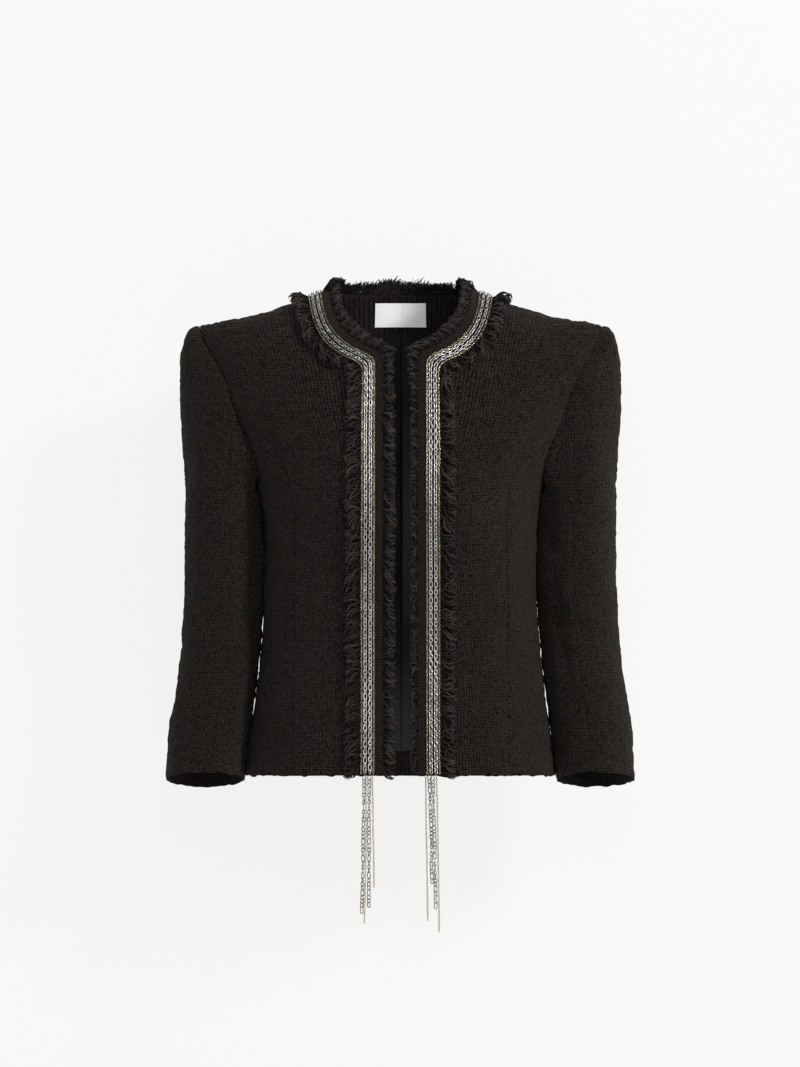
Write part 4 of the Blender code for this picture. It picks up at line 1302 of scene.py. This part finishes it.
def makeSleeves(paints):
    # close rows beside the armhole, then the head and the arm
    head, arm = np.linspace(0.028, 1, 54), np.linspace(1, 2, 88)
    steps = np.concatenate([[0, 0.006, 0.014], head, arm[1:]])
    tweed = [paints["tweed"], paints["lining"]]
    between = {
        "upper": (sleeveForm["backSeam"], sleeveForm["frontSeam"]),
        "under": (sleeveForm["frontSeam"], 360 + sleeveForm["backSeam"]),
    }
    for side, (first, last) in between.items():
        drawn = math.degrees(cloth["seam"] / min(sleeveForm["halfDepth"]))
        shares = evenShares(span[side], first=True, last=True)
        degrees = first + drawn + shares * (last - first - 2 * drawn)
        degrees, down = np.meshgrid(degrees, steps)
        points = sleevePoints(degrees, down)
        around = sleeveTurn(degrees, points) / 360
        sheet = tucked({
            "points": points,
            "normals": sleeveNormals(degrees, down),
            "weave": np.stack([around * cloth["sleeve"], points[..., 2]], axis=-1),
            "seam": edgeDistance(points, {"first": 1.0, "near": 1.0, "far": 1.0}),
            "hem": edgeDistance(points, {"last": 1.0}),
        })
        for hand in hands:
            flip = np.array([1 if hand == "left" else -1, 1, 1])
            folds = [
                (creasePath(sleevePoints, start, end) * flip, wide, deep)
                for start, end, wide, deep in sleeveFolds[hand]
            ]
            cut, name, sheets = f"sleeve_{side}", f"sleeve_{side}_{hand}", [onHand(hand, sheet)]
            makeCloth(f"{name}_cloth", cut, name, sheets, tweed, folds, sleeveWall)
    print("sleeves made")


# Trim: tape, fringes and sewn chains

trim = {
    "band": 0.0468,  # width with both fringes, which the shares are of
    "tapeFrom": 0.12, "tapeTo": 0.61, "tapeThick": 0.0012, "tapeDip": 0.0004,
    "chains": {
        # place across the band, and height over the cloth
        "gold_inner": (0.3147, 0.0028),
        "silver_inner": (0.3930, 0.0032),
        "silver_outer": (0.50075, 0.0032),
        "gold_outer": (0.5790, 0.0028),
    },
}


def trimRun(shares):
    # Points of the trim band from one hem, round the neck, to the other.
    edge, outside, _ = frontLines()
    front = withHem(bandRows(edge, outside, shares))
    start, _, neck, places = backLines()
    upper = places >= len(backRows)
    back = bandRows(neck[upper], start[upper], shares)
    half = np.concatenate([front, back[-2::-1]])
    other = half[:-1] * np.array([-1.0, 1.0, 1.0])
    return np.concatenate([half, other[::-1]])


def makeTape(paints, creases, fringes):
    shares = np.linspace(trim["tapeFrom"], trim["tapeTo"], 13)
    points = drawnIn(trimRun(shares), ("near", "far"))
    sheet = bodySheet(points, (), {"near": 1.0, "far": 1.0})
    v = runLengths(points[:, 6])[:, None] + 0 * shares[None]
    sheet["weave"] = np.stack([0 * v + shares[None] * trim["band"], v], axis=-1)
    low = cloth["gap"]
    wall = {"low": low, "high": low + trim["tapeThick"], "dip": trim["tapeDip"]}
    makeCloth(
        "braid_tape", "trim_tape", "trim_tape", [sheet], [paints["tape"]], creases, wall,
        with_pieces=fringes,
    )
    print("tape made")


def makeChains(paints, creases):
    for name, (share, height) in trim["chains"].items():
        run = trimRun((share - 0.02, share, share + 0.02))
        normals = bodyNormals(run[:, 1])
        path = run[:, 1] + normals * (creaseShift(run[:, 1], creases) + height)[:, None]
        metal = name.split("_")[0]
        look = chainLook[metal]

        def turns(middle, sway=look["sway"]):
            return sway * (9 * math.sin(31 * middle) + 7 * math.sin(83 * middle + 1))

        points, faces = linksAlong(path, unit(run[:, 2] - run[:, 0]), look, turns)
        piece = makeMesh(f"sewn_chain_{name}", points, faces, [paints[metal]])
        standFor(f"chain_{name}")
    print("sewn chains made")


strands = {
    # how many, which shares of the band they are rooted between, which way they point,
    # how many more there are behind the neck and how many more near the first share
    "outer": {
        "count": 2900, "from": 0.60, "to": 0.84, "seed": 5, "way": 1, "behind": 0.2, "inner": 1.3,
    },
    "edge": {
        "count": 3900, "from": 0.0, "to": 0.28, "seed": 8, "way": -1, "behind": 3.2, "inner": 1.0,
        "away": (0.004, 0.022), "share": (1.0, 0.43),  # narrower away from the shoulder line
    },
    "thick": 0.00060,
    "vary": (0.7, 1.3),  # how the thickness differs by strand
    "taper": (1.15, 0.6),  # its share at the root, and how much of it is lost by the end
    "points": 8,
    "clump": 0.0042,  # size of a clump along the edge
    "gather": 0.6,  # how far its ends draw together, all of it in front and little behind
    "gatherAt": ((-0.02, 0.02), (1.0, 0.1)),
    "lean": (20, 22, 16),  # degrees towards the hem, and how they differ by clump and strand
    "leanLimits": (-1.0, 1.15),  # in radians
    "proud": 0.4,  # this share stands up and is painted as catching the light, the rest lies low beneath it, painted in shade
    "low": 0.42,
    "thicker": 1.5,  # how much thicker those that stand up are
    "bright": (0.16, 1.0),  # painted shade of the rest, and painted highlight of those that stand up
    "rise": (0.0030, 0.0060),
    "wander": 0.0018,
    "curl": (0.0009, 0.0024),
    "turns": (0.7, 1.6),  # of its curl
    "clear": 0.0003,  # the nearest a strand comes to the cloth
    "outerTo": (0.0400, 0.0050, 0.003),  # the outer ends: least, more by clump and on the shoulder
    "hem": -0.4945,  # ends below this height are gathered up to it
}
edgeReach = {
    # how far the inner ends reach past each front edge, round the neckline's corner and behind
    "right": 0.0082, "left": 0.0022, "corner": (0.006, 0.0085), "heights": (-0.095, -0.055),
    "behind": 0.0145, "shoulder": 0.005,
}


def fringeReach(root, choose):
    x, y, z = root.T
    low = np.where(x < 0, edgeReach["right"], edgeReach["left"])
    corner = np.interp(z, edgeReach["heights"], edgeReach["corner"])
    reach = np.where(z < edgeReach["heights"][0], low, corner)
    behind = np.clip(y / 0.05, 0, 1)
    reach = reach * (1 - behind) + edgeReach["behind"] * behind
    reach = reach + edgeReach["shoulder"] * np.exp(-((y / 0.014) ** 2))
    return reach * (0.55 + 0.45 * choose + 0.35 * behind * choose**3)


def strandRoots(side, run, lengths, rng):
    # Places along and across the run, the row below each, and how a grid is read there.
    look = strands[side]
    dense = 1 + look["behind"] * np.clip(run[:, 2, 1] / 0.03 + 0.4, 0, 1)
    shares = runLengths(np.stack([np.cumsum(dense * np.gradient(lengths))], axis=-1))
    place = np.interp(rng.random(look["count"]) * shares[-1], shares, lengths)
    row = np.interp(place, lengths, np.arange(len(lengths)))
    i = np.clip(row.astype(int), 0, len(lengths) - 2)
    f = (row - i)[:, None]
    across = rng.random(look["count"]) ** look["inner"]
    if side == "edge":
        across = across * np.interp(np.abs(run[i, 2, 1]), look["away"], look["share"])
    j = np.clip((across * 4).astype(int), 0, 3)
    g = (across * 4 - j)[:, None]

    def read(grid):
        near = grid[i, j] * (1 - g) + grid[i, j + 1] * g
        far = grid[i + 1, j] * (1 - g) + grid[i + 1, j + 1] * g
        return near * (1 - f) + far * f

    return place, across, i, read


def strandTubes(path, thick, sideways, up):
    # A three-sided tube along each path.
    corners = []
    for angle in (0.5, 2.6, 4.7):
        turned = sideways[:, None] * math.cos(angle) + up[:, None] * math.sin(angle)
        corners.append(path + thick * turned)
    points = np.stack(corners, axis=2).reshape(-1, 3)
    n = np.arange(len(points)).reshape(*path.shape[:2], 3)
    m = np.roll(n, -1, axis=2)
    faces = np.stack([n[:, :-1], m[:, :-1], m[:, 1:], n[:, 1:]], axis=-1)
    return points, faces.reshape(-1, 4)


def makeFringe(side, paints, creases):
    look = strands[side]
    count = look["count"]
    rng = np.random.default_rng(look["seed"])
    run = trimRun(np.linspace(look["from"], look["to"], 5))
    normals = bodyNormals(run)
    run = run + normals * creaseShift(run, creases)[..., None]
    lengths = runLengths(run[:, 2])
    place, across, i, read = strandRoots(side, run, lengths, rng)
    root, up = read(run), unit(read(normals))
    out = unit(run[i, 4] - run[i, 0]) * look["way"]
    downwards = np.where(place < lengths[-1] / 2, -1, 1)[:, None]
    along = unit(run[i + 1, 2] - run[i, 2]) * downwards
    # each strand belongs to a clump, which leans, rises and curls much as one
    shifted = place / strands["clump"] + 0.7 * across
    clump = shifted.astype(int)
    toMiddle = ((clump + 0.5) - shifted)[:, None] * strands["clump"] * downwards
    clumps = clump.max() + 1
    clumpLean, clumpSize = rng.normal(0, 1, clumps)[clump], rng.random(clumps)[clump]
    clumpRise, clumpTurn = rng.random(clumps)[clump], rng.random(clumps)[clump]
    behind = np.clip(root[:, 1] / 0.04, 0, 1)
    down, byClump, byStrand = strands["lean"]
    lean = np.radians(down * (1 - behind) + byClump * clumpLean + rng.normal(0, byStrand, count))
    lean = np.clip(lean, *strands["leanLimits"])
    choose = 0.6 * clumpSize + 0.4 * rng.random(count)
    proud = rng.random(count) < strands["proud"]
    least, more = strands["rise"]
    rise = least + more * (0.6 * clumpRise + 0.4 * rng.random(count))
    rise = rise * np.where(proud, 1.0, strands["low"])
    # how far it reaches
    over = np.exp(-((root[:, 1] / 0.022) ** 2))
    start = (look["from"] + across * (look["to"] - look["from"])) * trim["band"]
    if side == "outer":
        least, more, shoulders = strands["outerTo"]
        length = least + more * choose + shoulders * over - start
        rise = rise * (1 + 0.25 * over)
    else:
        start = start - look["from"] * trim["band"]
        length = start * 0.8 + fringeReach(root, choose)
        rise = rise * (1 - 0.6 * np.clip(root[:, 1] / 0.05, 0, 1)) * (0.5 + 0.5 * across)
    length = length / np.maximum(np.cos(lean), 0.6) + 0.001
    head = out * np.cos(lean)[:, None] + along * np.sin(lean)[:, None]
    sideways = unit(np.cross(up, head))

    def each(low, high):
        return (low + (high - low) * rng.random(count))[:, None, None]

    # and its curled path over the cloth
    t = np.linspace(0, 1, strands["points"])[None, :, None]
    turns = each(*strands["turns"]) * t + each(-0.15, 0.15) + clumpTurn[:, None, None]
    turn = 2 * np.pi * turns
    curl = each(*strands["curl"]) * np.sin(np.pi * (0.12 + 0.70 * t))
    path = root[:, None] + head[:, None] * (length[:, None, None] * t)
    gather = strands["gather"] * np.interp(root[:, 1], *strands["gatherAt"])
    gather = gather[:, None] * toMiddle
    path = path + along[:, None] * (each(0, strands["wander"]) * t**2 + gather[:, None] * t)
    path = path + sideways[:, None] * curl * np.sin(turn)
    path = path + head[:, None] * curl * 0.7 * np.cos(turn)
    lift = rise[:, None, None] * np.sin(np.pi * (0.04 + 0.74 * t)) + 0.8 * curl * np.cos(turn)
    path = path + up[:, None] * np.maximum(lift + 0.0005, strands["clear"])
    past = np.minimum(path[..., 2] - strands["hem"], 0)
    path[..., 2] -= 0.7 * past
    full, lost = strands["taper"]
    thick = strands["thick"] * each(*strands["vary"]) * (full - lost * t)
    thick = thick * np.where(proud, strands["thicker"], 1.0)[:, None, None]
    points, faces = strandTubes(path, thick, sideways, up)
    # painted light along each strand: painted shade at its root and on the low strands, a painted
    # highlight along the raised ones, over a random tone
    paintedHighlight = (each(0.3, 1.0) * np.sin(np.pi * (0.05 + 0.65 * t))) ** 1.6
    dull, bright = strands["bright"]
    shade = each(0.0, 0.12) + np.where(proud, bright, dull)[:, None, None] * paintedHighlight
    shade = np.broadcast_to(shade, (count, strands["points"], 3)).reshape(-1)
    piece = makeMesh(f"frayed_{side}", points, faces, [paints["fringe"]], shade=shade)
    standFor(f"fringe_{side}")
    print(f"{side} fringe made")
    return piece


# Stage

stage = {
    "wall": 0.17, "wallSize": 3, "floor": -0.84, "far": 14.0,
    "colour": (0.075, 0.0745, 0.0735), "light": (1.0, 0.995, 0.985, 1), "glow": 0.845,
    "world": 0.145, "seen": 0.92,  # strength of the room's light, and how pale it looks
    "lights": {
        # place, size and power; each aims at the middle of the jacket
        "key": ((2.9, -3.2, 2.0), 0.9, 196.0),
        "front": ((0.1, -4.4, 1.4), 2.0, 82.0),
    },
}


def makeSheet(name, corners, paint):
    mesh = bpy.data.meshes.new(name)
    mesh.from_pydata(corners, [], [(0, 1, 2, 3)])
    mesh.materials.append(paint)
    addObject(name, mesh)


def makeLight(name, place, size, power):
    aim = mathutils.Vector((0, 0, -0.25)) - mathutils.Vector(place)
    data = bpy.data.lights.new(name, "AREA")
    data.shape = "DISK"
    data.size = size
    data.energy = power
    made = addObject(name, data)
    made.location = place
    made.rotation_euler = aim.to_track_quat("-Z", "Y").to_euler()


def makeWorld():
    # A dim room for the light it gives, which looks as pale as the floor when seen itself.
    world = bpy.data.worlds.new("studio")
    world.use_nodes = True
    nodes, links = world.node_tree.nodes, world.node_tree.links
    room = nodes["Background"]
    seen = nodes.new("ShaderNodeBackground")
    for shader, strength in ((room, stage["world"]), (seen, stage["seen"])):
        shader.inputs["Color"].default_value = stage["light"]
        shader.inputs["Strength"].default_value = strength
    pick, ray = nodes.new("ShaderNodeMixShader"), nodes.new("ShaderNodeLightPath")
    links.new(ray.outputs["Is Camera Ray"], pick.inputs[0])
    links.new(room.outputs[0], pick.inputs[1])
    links.new(seen.outputs[0], pick.inputs[2])
    links.new(pick.outputs[0], nodes["World Output"].inputs["Surface"])
    bpy.context.scene.world = world


def makeStage():
    paint = Paint("backdrop", stage["colour"], 0.9, Emission_Strength=stage["glow"])
    paint.set("Emission Color", stage["light"])
    paint.set("Specular IOR Level", 0.1)
    wall, floor, far, size = stage["wall"], stage["floor"], stage["far"], stage["wallSize"]
    corners = [(-far, -far, floor), (far, -far, floor), (far, far, floor), (-far, far, floor)]
    makeSheet("floor", corners, paint.material)
    sides = paint.node("NewGeometry", out="Backfacing")
    clear = paint.node("BsdfTransparent")
    solid = Wire(paint, paint.shader.outputs[0])
    seen = paint.node("MixShader", None, {0: sides, 1: solid, 2: clear})
    paint.tree.links.new(seen.socket, paint.tree.nodes["Material Output"].inputs["Surface"])
    corners = [(-size, wall, floor), (size, wall, floor), (size, wall, size), (-size, wall, size)]
    makeSheet("wall", corners, paint.material)
    makeWorld()
    for name, (place, size, power) in stage["lights"].items():
        makeLight(name, place, size, power)
    bpy.context.scene.view_settings.view_transform = "Standard"
    print("stage made")


def main():
    makeCamera()
    paints = makeFinishes()
    makeChainEnds(paints)
    creases = [
        (creasePath(lambda x, z: sheetPoints(x, z, behind), first, last), width, depth)
        for first, last, behind, width, depth in bodyCreases
    ]
    makePanels(paints, creases)
    makeInside(paints, creases)
    makeSleeves(paints)
    fringes = [makeFringe("edge", paints, creases), makeFringe("outer", paints, creases)]
    makeTape(paints, creases, fringes)
    makeChains(paints, creases)
    makeStage()


main()
